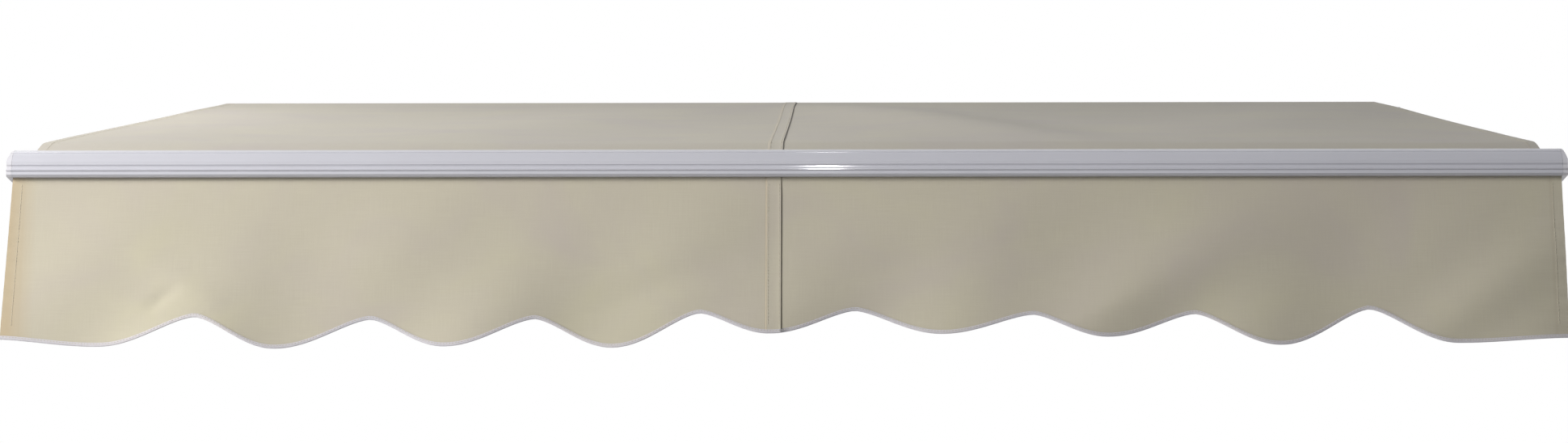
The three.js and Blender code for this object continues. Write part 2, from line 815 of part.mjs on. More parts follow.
function upperArmRoot(inward, centreX) {
  const spigotFrom = -shoulderStart - insertLength;
  return cut(
    join(
      linkEnd(inward, upperWidth, 0, -shoulderStart + linkFlange, camRadius - 1.7, tongueHalf),
      linkInsert(inward, upperWidth, upperHeight, upperWall, -shoulderStart, -1),
      rod('y', [centreX, 0], springSeatRadius, spigotFrom - springSeat, spigotFrom + 2),
    ),
    rod('z', [0, 0], pinRadius + clearance, -tongueHalf - 1, tongueHalf + 1),
  );
}

// A fork at the far end of a link: two cheeks, and a web that stays clear of the tongue between them
function farFork(inward, width, height, wall, start, radius, halves) {
  const place = -linkLength;
  const [inside, outside] = halves;
  const end = place + start;
  const flangeEdge = end - linkFlange;
  const slotEnd = place + start - webGap;
  const cheeks = linkEnd(inward, width, place, flangeEdge, radius, outside);
  const slot = box([-3 * radius, 3 * radius], [place - 2 * radius, slotEnd], [-inside, inside]);
  return cut(
    join(cut(cheeks, slot), linkInsert(inward, width, height, wall, end, 1)),
    rod('z', [0, place], pinRadius + clearance, -outside - 1, outside + 1),
  );
}

function elbowTongue(inward) {
  return cut(
    join(
      linkEnd(inward, forearmWidth, 0, -elbowStart + linkFlange, camRadius, tongueHalf),
      linkInsert(inward, forearmWidth, forearmHeight, forearmWall, -elbowStart, -1),
    ),
    rod('z', [0, 0], pinRadius + clearance, -tongueHalf - 1, tongueHalf + 1),
  );
}

function wristBlock() {
  const end = blockHalf + lugThickness + 2;
  return cut(
    join(
      rod('z', [0, 0], wristRadius, -wristTongueHalf, wristTongueHalf),
      box([-blockHalf, blockHalf], [-wristReach, 0], [-wristTongueHalf, wristTongueHalf]),
      rod('x', [-wristReach, 0], trunnionBoss, -blockHalf, blockHalf),
      rod('x', [-wristReach, 0], trunnionRadius, -end, end),
    ),
    rod('z', [0, 0], pinRadius + clearance, -wristTongueHalf - 1, wristTongueHalf + 1),
  );
}

for (const [name, side] of sides) {
  const inward = -side;
  const plane = new THREE.Group();
  plane.position.set(side * shoulderX, pitchY, 0);
  plane.rotation.x = armPitch;
  awning.add(plane);
  add(plane, `${name}_shoulder_knuckle`, shoulderKnuckle(), cast);

  const upper = new THREE.Group();
  upper.position.y = -knuckleReach;
  upper.rotation.z = -side * restAngle;
  plane.add(upper);
  add(plane, `${name}_shoulder_pin`, pin(forkHalf), zinc).position.y = -knuckleReach;

  const centreX = inward * (linkSideGap + upperWidth / 2);
  const upperEnd = -linkLength + elbowStart;
  add(upper, `${name}_upper_arm_root`, upperArmRoot(inward, centreX), cast);
  add(
    upper,
    `${name}_upper_arm`,
    linkProfile(inward, upperWidth, upperHeight, upperWall, -shoulderStart - clearance, upperEnd + clearance),
    white,
  );
  const fork = farFork(inward, upperWidth, upperHeight, upperWall, elbowStart, cheekRadius, [
    tongueHalf + clearance,
    forkHalf,
  ]);
  const cableHole = cableRadius + clearance;
  const cableBore = rod('y', [centreX, 0], cableHole, -linkLength, upperEnd + insertLength + 1, 10);
  add(upper, `${name}_elbow_fork`, cut(fork, cableBore), cast);

  // The spring sits on the root's spigot and pulls the cable, which meets the elbow's cam
  const springStart = -shoulderStart - insertLength - clearance - springWire - 1;
  add(upper, `${name}_arm_spring`, armSpring(centreX, springStart), steel);
  const springEnd = springStart - springTurns * springPitch - springWire - clearance;
  const cableStart = springEnd - cableEndLength;
  add(
    upper,
    `${name}_arm_cable`,
    join(
      rod('y', [centreX, 0], cableRadius, -linkLength, cableStart + 1, 8),
      rod('y', [centreX, 0], cableEndRadius, cableStart, springEnd, 16),
      rod('y', [centreX, 0], springSeatRadius, springEnd - 1, springEnd + springSeat, 16),
    ),
    steel,
  );

  const elbow = new THREE.Group();
  elbow.position.y = -linkLength;
  upper.add(elbow);
  add(elbow, `${name}_elbow_pin`, pin(forkHalf), zinc);

  const lower = new THREE.Group();
  lower.rotation.z = 2 * side * restAngle;
  elbow.add(lower);
  add(lower, `${name}_elbow_tongue`, elbowTongue(inward), cast);
  const lowerEnd = -linkLength + wristStart;
  add(
    lower,
    `${name}_forearm`,
    linkProfile(
      inward, forearmWidth, forearmHeight, forearmWall,
      -elbowStart - clearance, lowerEnd + clearance,
    ),
    white,
  );
  const wristCheeks = [wristTongueHalf + clearance, wristForkHalf];
  add(
    lower,
    `${name}_wrist_fork`,
    farFork(inward, forearmWidth, forearmHeight, forearmWall, wristStart, wristRadius + 1, wristCheeks),
    cast,
  );

  const wrist = new THREE.Group();
  wrist.position.y = -knuckleReach - linkRun;
  plane.add(wrist);
  add(wrist, `${name}_wrist_pin`, pin(wristForkHalf), zinc);
  add(wrist, `${name}_wrist_block`, wristBlock(), cast);
}

// Front bar, drawn in its own section: u forward from its rear face, v up from its underside
const levelY = pitchY - pivotReach * Math.cos(armPitch);
const levelZ = -pivotReach * Math.sin(armPitch);
const barRearY = levelY - barGap;
const barBottomZ = levelZ - barBelowPivot;

function barPlace([u, v]) {
  return [barRearY - u, barBottomZ + v];
}

function barPoints(points) {
  return points.map(barPlace).reverse();
}

// The round nose between two heights on the front, as a curve through its shoulder
const nose = new THREE.QuadraticBezierCurve(
  new THREE.Vector2(barDepth - 2, noseBrow),
  new THREE.Vector2(barDepth - noseShoulder, barHeight - 1.5),
  new THREE.Vector2(barDepth - noseDepth, barHeight),
);

function barCore() {
  const lip = [barDepth - 2.5, 3];
  const arc = nose.getPoints(12).map((p) => [p.x, p.y]);
  return [[0, 0], [barDepth - 6, 0], lip, ...arc, [1.5, barHeight], [0, barHeight - 1.5]];
}

const coreOutline = barPoints(barCore());
const bead = barPlace([barDepth - beadRadius - 0.2, beadHeight]);
const cove = barPlace([barDepth - 2.2 + coveRadius - 1.6, coveHeight]);
const groove = barPlace(nose.getPoint(groovePlace).toArray());
const channelOuter = channelRadius + channelWall;
const canopySlot = barPlace(canopyChannel);
const valanceSlot = barPlace(valanceChannel);

// The canopy's line runs from its slot to the point where it leaves the cloth on the roller
const rollReach = clothRollRadius + clearance + clothThickness / 2;
const spanY = rollerY - canopySlot[0];
const spanZ = rollerHeight - canopySlot[1];
const span = Math.hypot(spanY, spanZ);
const canopyPitch = Math.atan2(spanZ, spanY) + Math.asin(rollReach / span);
const canopyRun = Math.sqrt(span * span - rollReach * rollReach);
const alongCanopy = [Math.cos(canopyPitch), Math.sin(canopyPitch)];
const aboveCanopy = [-Math.sin(canopyPitch), Math.cos(canopyPitch)];

// A slit that opens outwards, so that the cloth can tilt in it, and the same with its walls
function canopySlit(growth = 0) {
  const near = slitWidth / 2 + growth;
  const reach = barDepth / 2;
  const far = near + reach * Math.tan(restAngle);
  return [[0, -near], [reach, -far], [reach, far], [0, near]].map(([along, up]) => [
    canopySlot[0] + along * alongCanopy[0] + up * aboveCanopy[0],
    canopySlot[1] + along * alongCanopy[1] + up * aboveCanopy[1],
  ]);
}

function barSection(from, to) {
  return cut(
    join(prism('x', coreOutline, from, to), rod('x', bead, beadRadius, from, to, 12)),
    rod('x', cove, coveRadius, from - 1, to + 1),
    rod('x', groove, grooveRadius, from - 1, to + 1, 8),
  );
}

const chamber = cut(
  prism('x', inset(coreOutline, barWall), -barHalf - 1, barHalf + 1),
  prism('x', canopySlit(channelWall), -barHalf - 2, barHalf + 2),
  rod('x', canopySlot, channelOuter, -barHalf - 2, barHalf + 2),
  rod('x', valanceSlot, channelOuter, -barHalf - 2, barHalf + 2),
  rod('x', cove, coveRadius + barWall, -barHalf - 2, barHalf + 2, 20),
  rod('x', groove, grooveRadius + barWall, -barHalf - 2, barHalf + 2, 8),
);
const valanceSlitOutline = rectangle(
  [valanceSlot[0] - slitWidth / 2, valanceSlot[0] + slitWidth / 2],
  [barBottomZ - 1, valanceSlot[1]],
);
add(
  awning,
  'front_bar',
  cut(
    barSection(-barHalf, barHalf),
    chamber,
    rod('x', canopySlot, channelRadius, -barHalf - 1, barHalf + 1, 16),
    rod('x', valanceSlot, channelRadius, -barHalf - 1, barHalf + 1, 16),
    prism('x', canopySlit(), -barHalf - 1, barHalf + 1),
    prism('x', valanceSlitOutline, -barHalf - 1, barHalf + 1),
  ),
  white,
);

for (const [name, side] of sides) {
  const seat = barHalf + clearance;
  const plugEnd = barHalf - capPlug;
  const plug = cut(
    prism('x', inset(coreOutline, barWall + clearance), side * plugEnd, side * (seat + 1)),
    rod('x', canopySlot, channelOuter + clearance, side * (plugEnd - 1), side * seat),
    rod('x', valanceSlot, channelOuter + clearance, side * (plugEnd - 1), side * seat),
    rod('x', cove, coveRadius + barWall + clearance, side * (plugEnd - 1), side * seat, 20),
    rod('x', groove, grooveRadius + barWall + clearance, side * (plugEnd - 1), side * seat, 8),
    prism('x', canopySlit(channelWall + clearance), side * (plugEnd - 1), side * seat),
  );
  const faces = [side * seat, side * (seat + capThickness)].sort((a, b) => a - b);
  const tip = side * (seat + capThickness);
  const barTop = barBottomZ + barHeight + 1;
  const bevel = [[tip - side * capTaper, barTop], [tip + side, barTop], [tip + side, barTop - capTaperHeight]];
  const corner = prism('y', hull(bevel), barRearY - barDepth - 1, barRearY + 1);
  add(awning, `front_bar_cap_${name}`, join(cut(barSection(...faces), corner), plug), plastic);
}

const kederHalf = clothHalf - 2;
add(awning, 'front_keder', rod('x', canopySlot, kederRadius, -kederHalf, kederHalf, 12), tape);
add(awning, 'valance_keder', rod('x', valanceSlot, kederRadius, -kederHalf, kederHalf, 12), tape);

// Front brackets: lugs that hold the wrist block's trunnions behind the front bar
for (const [name, side] of sides) {
  const x = side * shoulderX;
  const plateFront = barRearY + clearance;
  const plateBack = plateFront + bracketPlate;
  const lugIn = blockHalf + clearance;
  const lugOut = lugIn + lugThickness;
  const outline = hull([
    ...circle(levelY, levelZ, lugRadius),
    [plateBack - 1, levelZ - barBelowPivot],
    [plateBack - 1, levelZ + bracketTop],
  ]);
  let body = join(
    box(
      [x - bracketHalf, x + bracketHalf],
      [plateFront, plateBack],
      [levelZ - barBelowPivot, levelZ + bracketTop],
    ),
    prism('x', outline, x - lugOut, x - lugIn),
    prism('x', outline, x + lugIn, x + lugOut),
  );
  for (const across of [-1, 1]) {
    const centre = [x + across * (bracketHalf - 8), levelZ + 5];
    body = join(body, hexHead('y', centre, plateFront + 1, plateBack + 3));
  }
  const room = side < 0 ? clearance : openPivotClearance;
  const hole = rod('x', [levelY, levelZ], trunnionRadius + room, x - lugOut - 1, x + lugOut + 1);
  add(awning, `${name}_front_bracket`, cut(body, hole), cast);
}

// Canopy: two cloths with an overlapped seam and a hem at each side
function steppedColumns(inner) {
  const step = 1;
  const places = [-clothHalf, clothHalf];
  const edges = [-clothHalf + sideHem, clothHalf - sideHem];
  edges.push(seamCentre - seamOverlap / 2, seamCentre + seamOverlap / 2);
  for (const edge of edges) places.push(edge - step / 2, edge + step / 2);
  for (const x of inner) {
    if (edges.every((edge) => Math.abs(edge - x) > 6) && Math.abs(x) < clothHalf - 6) places.push(x);
  }
  return places.sort((a, b) => a - b);
}

function evenly(count, from, to) {
  return Array.from({ length: count + 1 }, (unused, i) => from + ((to - from) * i) / count);
}

function layers(x) {
  const inHem = Math.abs(x) > clothHalf - sideHem;
  const inSeam = Math.abs(x - seamCentre) < seamOverlap / 2;
  return inHem || inSeam ? 2 : 1;
}

const kederEdge = kederRadius + clearance;

function canopyFace(x, along, side) {
  const share = (along - kederEdge) / (canopyRun - kederEdge);
  const sag = -canopySag * 4 * share * (1 - share);
  const lift = sag - clothThickness / 2 + side * clothThickness * layers(x);
  return [
    x,
    canopySlot[0] + along * alongCanopy[0] + lift * aboveCanopy[0],
    canopySlot[1] + along * alongCanopy[1] + lift * aboveCanopy[1],
  ];
}

const canopyColumns = steppedColumns(evenly(8, -clothHalf, clothHalf));
const canopyRows = evenly(10, kederEdge, canopyRun);
add(awning, 'canopy', slab(canopyColumns, canopyRows, canopyFace), cloth);

// Valance: hangs from the front bar's underside, with a scalloped edge in a folded tape
const hemStations = 80;
const valanceTop = valanceSlot[1] - kederEdge;

function valanceEdge(x) {
  const place = THREE.MathUtils.clamp(x / clothHalf, -1, 1);
  const next = Math.max(1, cutTurns.findIndex(([at]) => at >= place));
  const [from, dropFrom] = cutTurns[next - 1];
  const [to, dropTo] = cutTurns[next];
  const share = 0.5 - 0.5 * Math.cos((Math.PI * (place - from)) / (to - from));
  return barBottomZ - dropFrom - (dropTo - dropFrom) * share;
}

function valanceLean(x, z) {
  const share = Math.min(1, Math.max(0, (valanceTop - channelOuter - z) / waveGrowth));
  return valanceSlot[0] + valanceWave * share * Math.sin((2 * Math.PI * x) / waveLength);
}

function valanceFace(x, share, side) {
  const bottom = valanceEdge(x) + bindingHeight - bindingSlotDepth + clearance;
  const z = valanceTop + (bottom - valanceTop) * share;
  const half = (clothThickness * layers(x)) / 2;
  return [x, valanceLean(x, z) + (side ? -half : half), z];
}

const valanceColumns = steppedColumns(evenly(hemStations, -clothHalf, clothHalf));
const valanceRows = [1, 0.5, 0.06, 0];
add(awning, 'valance', slab(valanceColumns, valanceRows, valanceFace), cloth);

// The tape's section is a U that opens upwards, with the cloth's edge in it
function bindingTape() {
  const outer = bindingThickness / 2;
  const inner = clothThickness + clearance;
  const floor = bindingHeight - bindingSlotDepth;
  const section = [
    [-outer, 0], [outer, 0], [outer, bindingHeight], [inner, bindingHeight],
    [inner, floor], [-inner, floor], [-inner, bindingHeight], [-outer, bindingHeight],
  ];
  const positions = [];
  const triangles = [];
  for (const x of valanceColumns) {
    const bottom = valanceEdge(x);
    for (const [v, w] of section) positions.push(x, valanceLean(x, bottom + w) + v, bottom + w);
  }
  const count = section.length;
  for (let j = 0; j + 1 < valanceColumns.length; j += 1) {
    for (let i = 0; i < count; i += 1) {
      const a = j * count + i;
      const b = j * count + ((i + 1) % count);
      triangles.push(a, b, b + count, a, b + count, a + count);
    }
  }
  const flat = section.map(([u, v]) => new THREE.Vector2(u, v));
  const last = (valanceColumns.length - 1) * count;
  for (const [a, b, c] of THREE.ShapeUtils.triangulateShape(flat, [])) {
    triangles.push(a, c, b, last + a, last + b, last + c);
  }
  const geometry = new THREE.BufferGeometry();
  geometry.setAttribute('position', new THREE.Float32BufferAttribute(positions, 3));
  geometry.setIndex(triangles);
  return solid(geometry);
}

add(awning, 'valance_binding', bindingTape(), tape);

export default awning;
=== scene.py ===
import math

import bpy
import numpy as np
from mathutils import Matrix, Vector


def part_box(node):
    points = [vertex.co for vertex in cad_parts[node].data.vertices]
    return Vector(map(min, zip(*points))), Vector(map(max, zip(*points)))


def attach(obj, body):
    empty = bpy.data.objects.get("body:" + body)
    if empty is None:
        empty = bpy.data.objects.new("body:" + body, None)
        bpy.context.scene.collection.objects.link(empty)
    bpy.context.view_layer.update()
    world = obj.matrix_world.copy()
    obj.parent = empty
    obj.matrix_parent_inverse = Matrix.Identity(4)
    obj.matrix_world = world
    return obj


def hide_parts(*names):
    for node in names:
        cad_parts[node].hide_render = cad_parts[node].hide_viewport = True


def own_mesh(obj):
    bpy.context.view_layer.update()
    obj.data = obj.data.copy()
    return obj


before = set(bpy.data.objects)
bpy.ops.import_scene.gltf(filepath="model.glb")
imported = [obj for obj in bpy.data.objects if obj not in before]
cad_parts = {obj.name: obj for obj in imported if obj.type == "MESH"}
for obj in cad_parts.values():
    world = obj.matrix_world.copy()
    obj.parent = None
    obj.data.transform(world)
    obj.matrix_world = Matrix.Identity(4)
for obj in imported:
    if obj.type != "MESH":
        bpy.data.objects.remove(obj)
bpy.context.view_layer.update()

# Camera, light and floor
# The awning is seen from in front, below its bar. A soft lamp off its left end lights the cloth,
# weaker ones its top and underside, and a small one makes a spark on the bar. The floor is pale.
camera_place = (0.0858, -7.5398, -1.6157)
camera_up, camera_turn, camera_roll = (math.radians(a) for a in (11.341, -0.898, 0.117))
lens_millimetres = 83.94
# Name, place, aim, side, watts and colour of each lamp
lamps = [
    ("soft_lamp", (-5.0, -4.3, 0.9), (0.2, -1.6, -0.3), 1.7, 450.0, (1.0, 0.985, 0.955)),
    ("upper_lamp", (-2.0, -1.0, 1.0), (-0.8, -1.1, -0.2), 0.7, 14.5, (1.0, 0.985, 0.955)),
    ("hand_lamp", (0.042, -7.5, 0.74), (0.064, -2.0, -0.42), 0.05, 20.0, (1.0, 1.0, 1.0)),
    ("wall_lamp", (0.4, 2.6, -2.0), (0.0, -0.9, -0.2), 2.4, 120.0, (1.0, 0.99, 0.97)),
]
room_light = 0.24
floor_height, floor_half = -2.45, 40
floor_glow = 0.72


def standing(side, over, away, at):
    """The matrix of a thing at a place, from its right, top and back directions."""
    rows = np.column_stack([side, over, away, at])
    return Matrix([*rows.tolist(), (0, 0, 0, 1)])


look = np.array([
    math.sin(camera_turn) * math.cos(camera_up),
    math.cos(camera_turn) * math.cos(camera_up),
    math.sin(camera_up),
])
level_right = np.array([math.cos(camera_turn), -math.sin(camera_turn), 0.0])
level_top = np.cross(level_right, look)
right = math.cos(camera_roll) * level_right + math.sin(camera_roll) * level_top
top = math.cos(camera_roll) * level_top - math.sin(camera_roll) * level_right
camera = bpy.data.objects.new("camera", bpy.data.cameras.new("camera"))
camera.data.lens = lens_millimetres
camera.data.sensor_width = 36
camera.data.clip_end = 100
camera.matrix_world = standing(right, top, -look, camera_place)
bpy.context.scene.collection.objects.link(camera)
bpy.context.scene.camera = camera
bpy.context.scene.view_settings.view_transform = "Standard"

for name, stands_at, aims_at, lamp_side, lamp_watts, lamp_colour in lamps:
    lamp = bpy.data.objects.new(name, bpy.data.lights.new(name, "AREA"))
    lamp.data.size = lamp_side
    lamp.data.energy = lamp_watts
    lamp.data.color = lamp_colour
    lamp.visible_camera = False
    # The small lamp shows only as a reflection
    lamp.visible_diffuse = name != "hand_lamp"
    away = np.array(stands_at) - np.array(aims_at)
    away /= np.linalg.norm(away)
    side = np.cross((0, 0, 1), away)
    side /= np.linalg.norm(side)
    lamp.matrix_world = standing(side, np.cross(away, side), away, stands_at)
    bpy.context.scene.collection.objects.link(lamp)


def feed(tree, node, inputs):
    """Gives each input of a node, by its name or number, a value or a link from a socket."""
    for key, value in inputs.items():
        if isinstance(value, bpy.types.NodeSocket):
            tree.links.new(value, node.inputs[key])
        else:
            node.inputs[key].default_value = value


def place(tree, kind, inputs=None, **settings):
    """Adds a shader node with its settings and feeds its inputs."""
    node = tree.nodes.new(kind)
    for name, value in settings.items():
        setattr(node, name, value)
    feed(tree, node, inputs or {})
    return node


def maths(tree, operation, *values):
    """The result of a math node on one to three values or sockets."""
    inputs = dict(enumerate(values))
    return place(tree, "ShaderNodeMath", inputs, operation=operation).outputs[0]


def either(tree, share, first, second):
    """A shader between two others, at a share of 0 to 1 of the way."""
    return place(tree, "ShaderNodeMixShader", {0: share, 1: first, 2: second}).outputs[0]


def blend(tree, share, first, second):
    """A colour between two others, at a share of 0 to 1 of the way."""
    inputs = {"Factor": share, 6: first, 7: second}
    return place(tree, "ShaderNodeMix", inputs, data_type="RGBA").outputs[2]


def linear(red, green, blue):
    """The shader's linear colour for one that is written as 0 to 255: the sRGB curve undone."""
    shares = np.array([red, green, blue]) / 255
    curve = np.where(shares <= 0.04045, shares / 12.92, ((shares + 0.055) / 1.055) ** 2.4)
    return (*curve.tolist(), 1.0)


sky = bpy.data.worlds.new("pale_room")
sky.use_nodes = True
sky.node_tree.nodes.clear()
tree = sky.node_tree
path = place(tree, "ShaderNodeLightPath").outputs
seen = maths(tree, "MAXIMUM", path["Is Camera Ray"], path["Is Glossy Ray"])
seen = maths(tree, "MAXIMUM", seen, path["Is Transmission Ray"])
dim = place(tree, "ShaderNodeBackground", {"Color": (0.93, 0.96, 1.0, 1), "Strength": room_light})
bright = place(tree, "ShaderNodeBackground", {"Color": (1, 1, 1, 1), "Strength": 1.0})
both = either(tree, seen, dim.outputs[0], bright.outputs[0])
place(tree, "ShaderNodeOutputWorld", {"Surface": both})
bpy.context.scene.world = sky

floor_mesh = bpy.data.meshes.new("floor")
floor_corners = [(x * floor_half, y * floor_half, floor_height)
                 for x, y in ((-1, -1), (1, -1), (1, 1), (-1, 1))]
floor_mesh.from_pydata(floor_corners, [], [(0, 1, 2, 3)])
floor = bpy.data.objects.new("floor", floor_mesh)
bpy.context.scene.collection.objects.link(floor)
pale = bpy.data.materials.new("pale_floor")
pale.use_nodes = True
pale.node_tree.nodes.clear()
tree = pale.node_tree
grit = place(tree, "ShaderNodeTexNoise", {"Scale": 3.0, "Detail": 6.0}).outputs[0]
tone = blend(tree, grit, linear(204, 204, 203), linear(212, 212, 211))
matt = place(tree, "ShaderNodeBsdfDiffuse", {"Color": tone}).outputs[0]
glow = place(tree, "ShaderNodeEmission", {"Color": (1, 1, 1, 1), "Strength": floor_glow})
lit = place(tree, "ShaderNodeAddShader", {0: matt, 1: glow.outputs[0]}).outputs[0]
path = place(tree, "ShaderNodeLightPath").outputs
shown = either(tree, path["Is Camera Ray"], matt, lit)
under = place(tree, "ShaderNodeNewGeometry").outputs["Backfacing"]
clear = place(tree, "ShaderNodeBsdfTransparent").outputs[0]
place(tree, "ShaderNodeOutputMaterial", {"Surface": either(tree, under, shown, clear)})
floor_mesh.materials.append(pale)

# Wall brackets, torsion bar and their end plugs
# Two pressed steel brackets, screwed to the wall, clamp a square steel tube that everything hangs
# on. Both are powder coated in white, with a fine orange peel and some dust on what faces up.


def noise(tree, where, scale, detail, **more):
    """Soft noise on a place in metres. scale counts its cells a metre, detail its finer layers."""
    inputs = {"Vector": where, "Scale": scale, "Detail": detail, **more}
    return place(tree, "ShaderNodeTexNoise", inputs).outputs[0]


def ramp(tree, value, low, high, least=0.0, most=1.0):
    """Maps a value from low..high to least..most in a straight line, held at both ends."""
    inputs = {"Value": value, "From Min": low, "From Max": high, "To Min": least, "To Max": most}
    return place(tree, "ShaderNodeMapRange", inputs).outputs[0]


def new_group(name, inputs, outputs):
    """An empty shader group. Each socket in the two lists has a name, a kind and a default."""
    group = bpy.data.node_groups.new(name, "ShaderNodeTree")
    for way, sockets in (("INPUT", inputs), ("OUTPUT", outputs)):
        for label, kind, value in sockets:
            kind = "NodeSocket" + kind
            socket = group.interface.new_socket(label, in_out=way, socket_type=kind)
            if value is not None:
                socket.default_value = value
    taken = group.nodes.new("NodeGroupInput").outputs
    return group, taken, group.nodes.new("NodeGroupOutput")


# Orange peel: two sizes of soft noise added, as cured powder paint has
peel, taken, given = new_group(
    "powder_peel",
    [("Vector", "Vector", None), ("Peel Size", "Float", 900.0)],
    [("Height", "Float", None), ("Gloss Change", "Float", None)],
)
small = noise(peel, taken["Vector"], taken["Peel Size"], 2.0)
wide = noise(peel, taken["Vector"], 38.0, 4.0)
feed(peel, given, {
    "Height": maths(peel, "MULTIPLY_ADD", wide, 0.35, small),
    "Gloss Change": ramp(peel, wide, 0.3, 0.7, -0.05, 0.06),
})

# Dust: a thin grey film on what faces up, broken by noise
dust, taken, given = new_group(
    "settled_dust",
    [("Vector", "Vector", None), ("Clean", "Color", (0.8, 0.8, 0.8, 1)),
     ("Dust", "Color", (0.4, 0.38, 0.34, 1)), ("Amount", "Float", 0.3)],
    [("Color", "Color", None), ("Mask", "Float", None)],
)
facing = place(dust, "ShaderNodeNewGeometry").outputs["Normal"]
facing = place(dust, "ShaderNodeSeparateXYZ", {0: facing}).outputs
upward = ramp(dust, facing["Z"], 0.25, 1.0, 0.12, 1.0)
patchy = ramp(dust, noise(dust, taken["Vector"], 14.0, 7.0, Roughness=0.62), 0.36, 0.68)
cover = maths(dust, "MULTIPLY", maths(dust, "MULTIPLY", upward, patchy), taken["Amount"])
dusty = blend(dust, cover, taken["Clean"], taken["Dust"])
feed(dust, given, {"Color": dusty, "Mask": cover})


def use_group(tree, group, inputs):
    """Places a group in a material, feeds it and returns its outputs."""
    return place(tree, "ShaderNodeGroup", inputs, node_tree=group).outputs


def new_finish(name):
    """A new material: itself, its tree, its shader and the place on the piece in metres."""
    finish = bpy.data.materials.new(name)
    finish.use_nodes = True
    tree = finish.node_tree
    where = place(tree, "ShaderNodeTexCoord").outputs["Object"]
    return finish, tree, tree.nodes["Principled BSDF"], where


def roughen(tree, shader, strength, depth, height):
    """Bumps a shader's surface by a height of 0 to 1 times a depth in metres."""
    inputs = {"Strength": strength, "Distance": depth, "Height": height}
    bump = place(tree, "ShaderNodeBump", inputs)
    tree.links.new(bump.outputs[0], shader.inputs["Normal"])


def powder_coat(name, colour, roughness, dust_amount, peel_size=900.0, bump=0.06, coat=0.12,
                coat_roughness=0.25):
    """White powder paint: patchy dust on a base colour, with the paint's peel as its bump."""
    paint, tree, shader, where = new_finish(name)
    skin = use_group(tree, peel, {"Vector": where, "Peel Size": peel_size})
    darker = linear(*[c * 0.965 for c in colour])
    tint = blend(tree, noise(tree, where, 5.0, 5.0), darker, linear(*colour))
    film = use_group(tree, dust, {"Vector": where, "Clean": tint, "Dust": linear(150, 145, 134),
                                  "Amount": dust_amount})
    matt = maths(tree, "ADD", skin["Gloss Change"], roughness)
    matt = maths(tree, "MULTIPLY_ADD", film["Mask"], 0.5, matt)
    feed(tree, shader, {"Base Color": film["Color"], "Roughness": matt, "Coat Weight": coat,
                        "Coat Roughness": coat_roughness})
    roughen(tree, shader, bump, 0.0006, skin["Height"])
    return paint


def dress(finish, *names):
    """Gives the solids with these names one finish."""
    for name in names:
        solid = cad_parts[name]
        for holder in solid.material_slots:
            holder.material = finish
        if not solid.material_slots:
            solid.data.materials.append(finish)


white_steel = powder_coat("white_painted_steel", (212, 212, 217), 0.42, 0.4)
white_moulding = powder_coat("white_moulded_plastic", (208, 207, 214), 0.5, 0.3,
                             peel_size=1500.0, coat=0.02)
dress(white_steel, "wall_bracket_left", "wall_bracket_right", "torsion_bar",
      "roller_bracket_left", "roller_bracket_right")
dress(white_moulding, "bar_plug_left", "bar_plug_right", "front_bar_cap_left",
      "front_bar_cap_right", "gearbox_housing", "gearbox_cover")

# Roller, gearbox and the cloth wound on the roller
# A rolled galvanised tube turns between two plates, driven by a worm and wheel in a white moulded
# housing. The canvas is wound on it about four and a half times, its layers seen at the ends.


def metal(name, colour, dark, roughness, speck, speck_size, tarnish):
    """Plated metal: cells of two tones, as zinc crystals have, and fine rolling lines along x."""
    plate, tree, shader, where = new_finish(name)
    cells = place(tree, "ShaderNodeTexVoronoi", {"Vector": where, "Scale": speck_size})
    grey = place(tree, "ShaderNodeSeparateColor", {0: cells.outputs["Color"]}).outputs[0]
    mixed = maths(tree, "MULTIPLY_ADD", grey, speck, noise(tree, where, 18.0, 6.0))
    level = ramp(tree, mixed, 0.35, 0.6 + speck)
    tint = blend(tree, level, linear(*dark), linear(*colour))
    film = use_group(tree, dust, {"Vector": where, "Clean": tint, "Dust": linear(120, 112, 98),
                                  "Amount": tarnish})
    drawn = place(tree, "ShaderNodeMapping", {"Vector": where, "Scale": (6.0, 700.0, 700.0)})
    lines = noise(tree, drawn.outputs[0], 1.0, 3.0)
    rough = ramp(tree, lines, 0.3, 0.7, roughness - 0.08, roughness + 0.1)
    feed(tree, shader, {"Base Color": film["Color"], "Metallic": 0.9, "Roughness": rough})
    roughen(tree, shader, 0.08, 0.0004, lines)
    return plate


galvanised = metal("galvanised_tube", (186, 188, 190), (150, 153, 157), 0.4, 0.35, 90.0, 0.35)
zinc = metal("zinc_plated_pins", (188, 187, 180), (160, 160, 156), 0.34, 0.1, 300.0, 0.2)
dress(galvanised, "roller_tube")
dress(zinc, "worm_wheel", "worm_shaft")

black_nylon, tree, shader, where = new_finish("black_nylon")
skin = use_group(tree, peel, {"Vector": where, "Peel Size": 1800.0})
worn = use_group(tree, dust, {"Vector": where, "Clean": linear(44, 44, 47),
                              "Dust": linear(96, 92, 86), "Amount": 0.5})
feed(tree, shader, {"Base Color": worn["Color"],
                    "Roughness": maths(tree, "ADD", skin["Gloss Change"], 0.58)})
roughen(tree, shader, 0.1, 0.0005, skin["Height"])
dress(black_nylon, "roller_bush_left")

white_casting = powder_coat("white_painted_casting", (205, 206, 210), 0.5, 0.4,
                            peel_size=520.0, bump=0.14)
dress(white_casting, "roller_end_left", "roller_end_right")

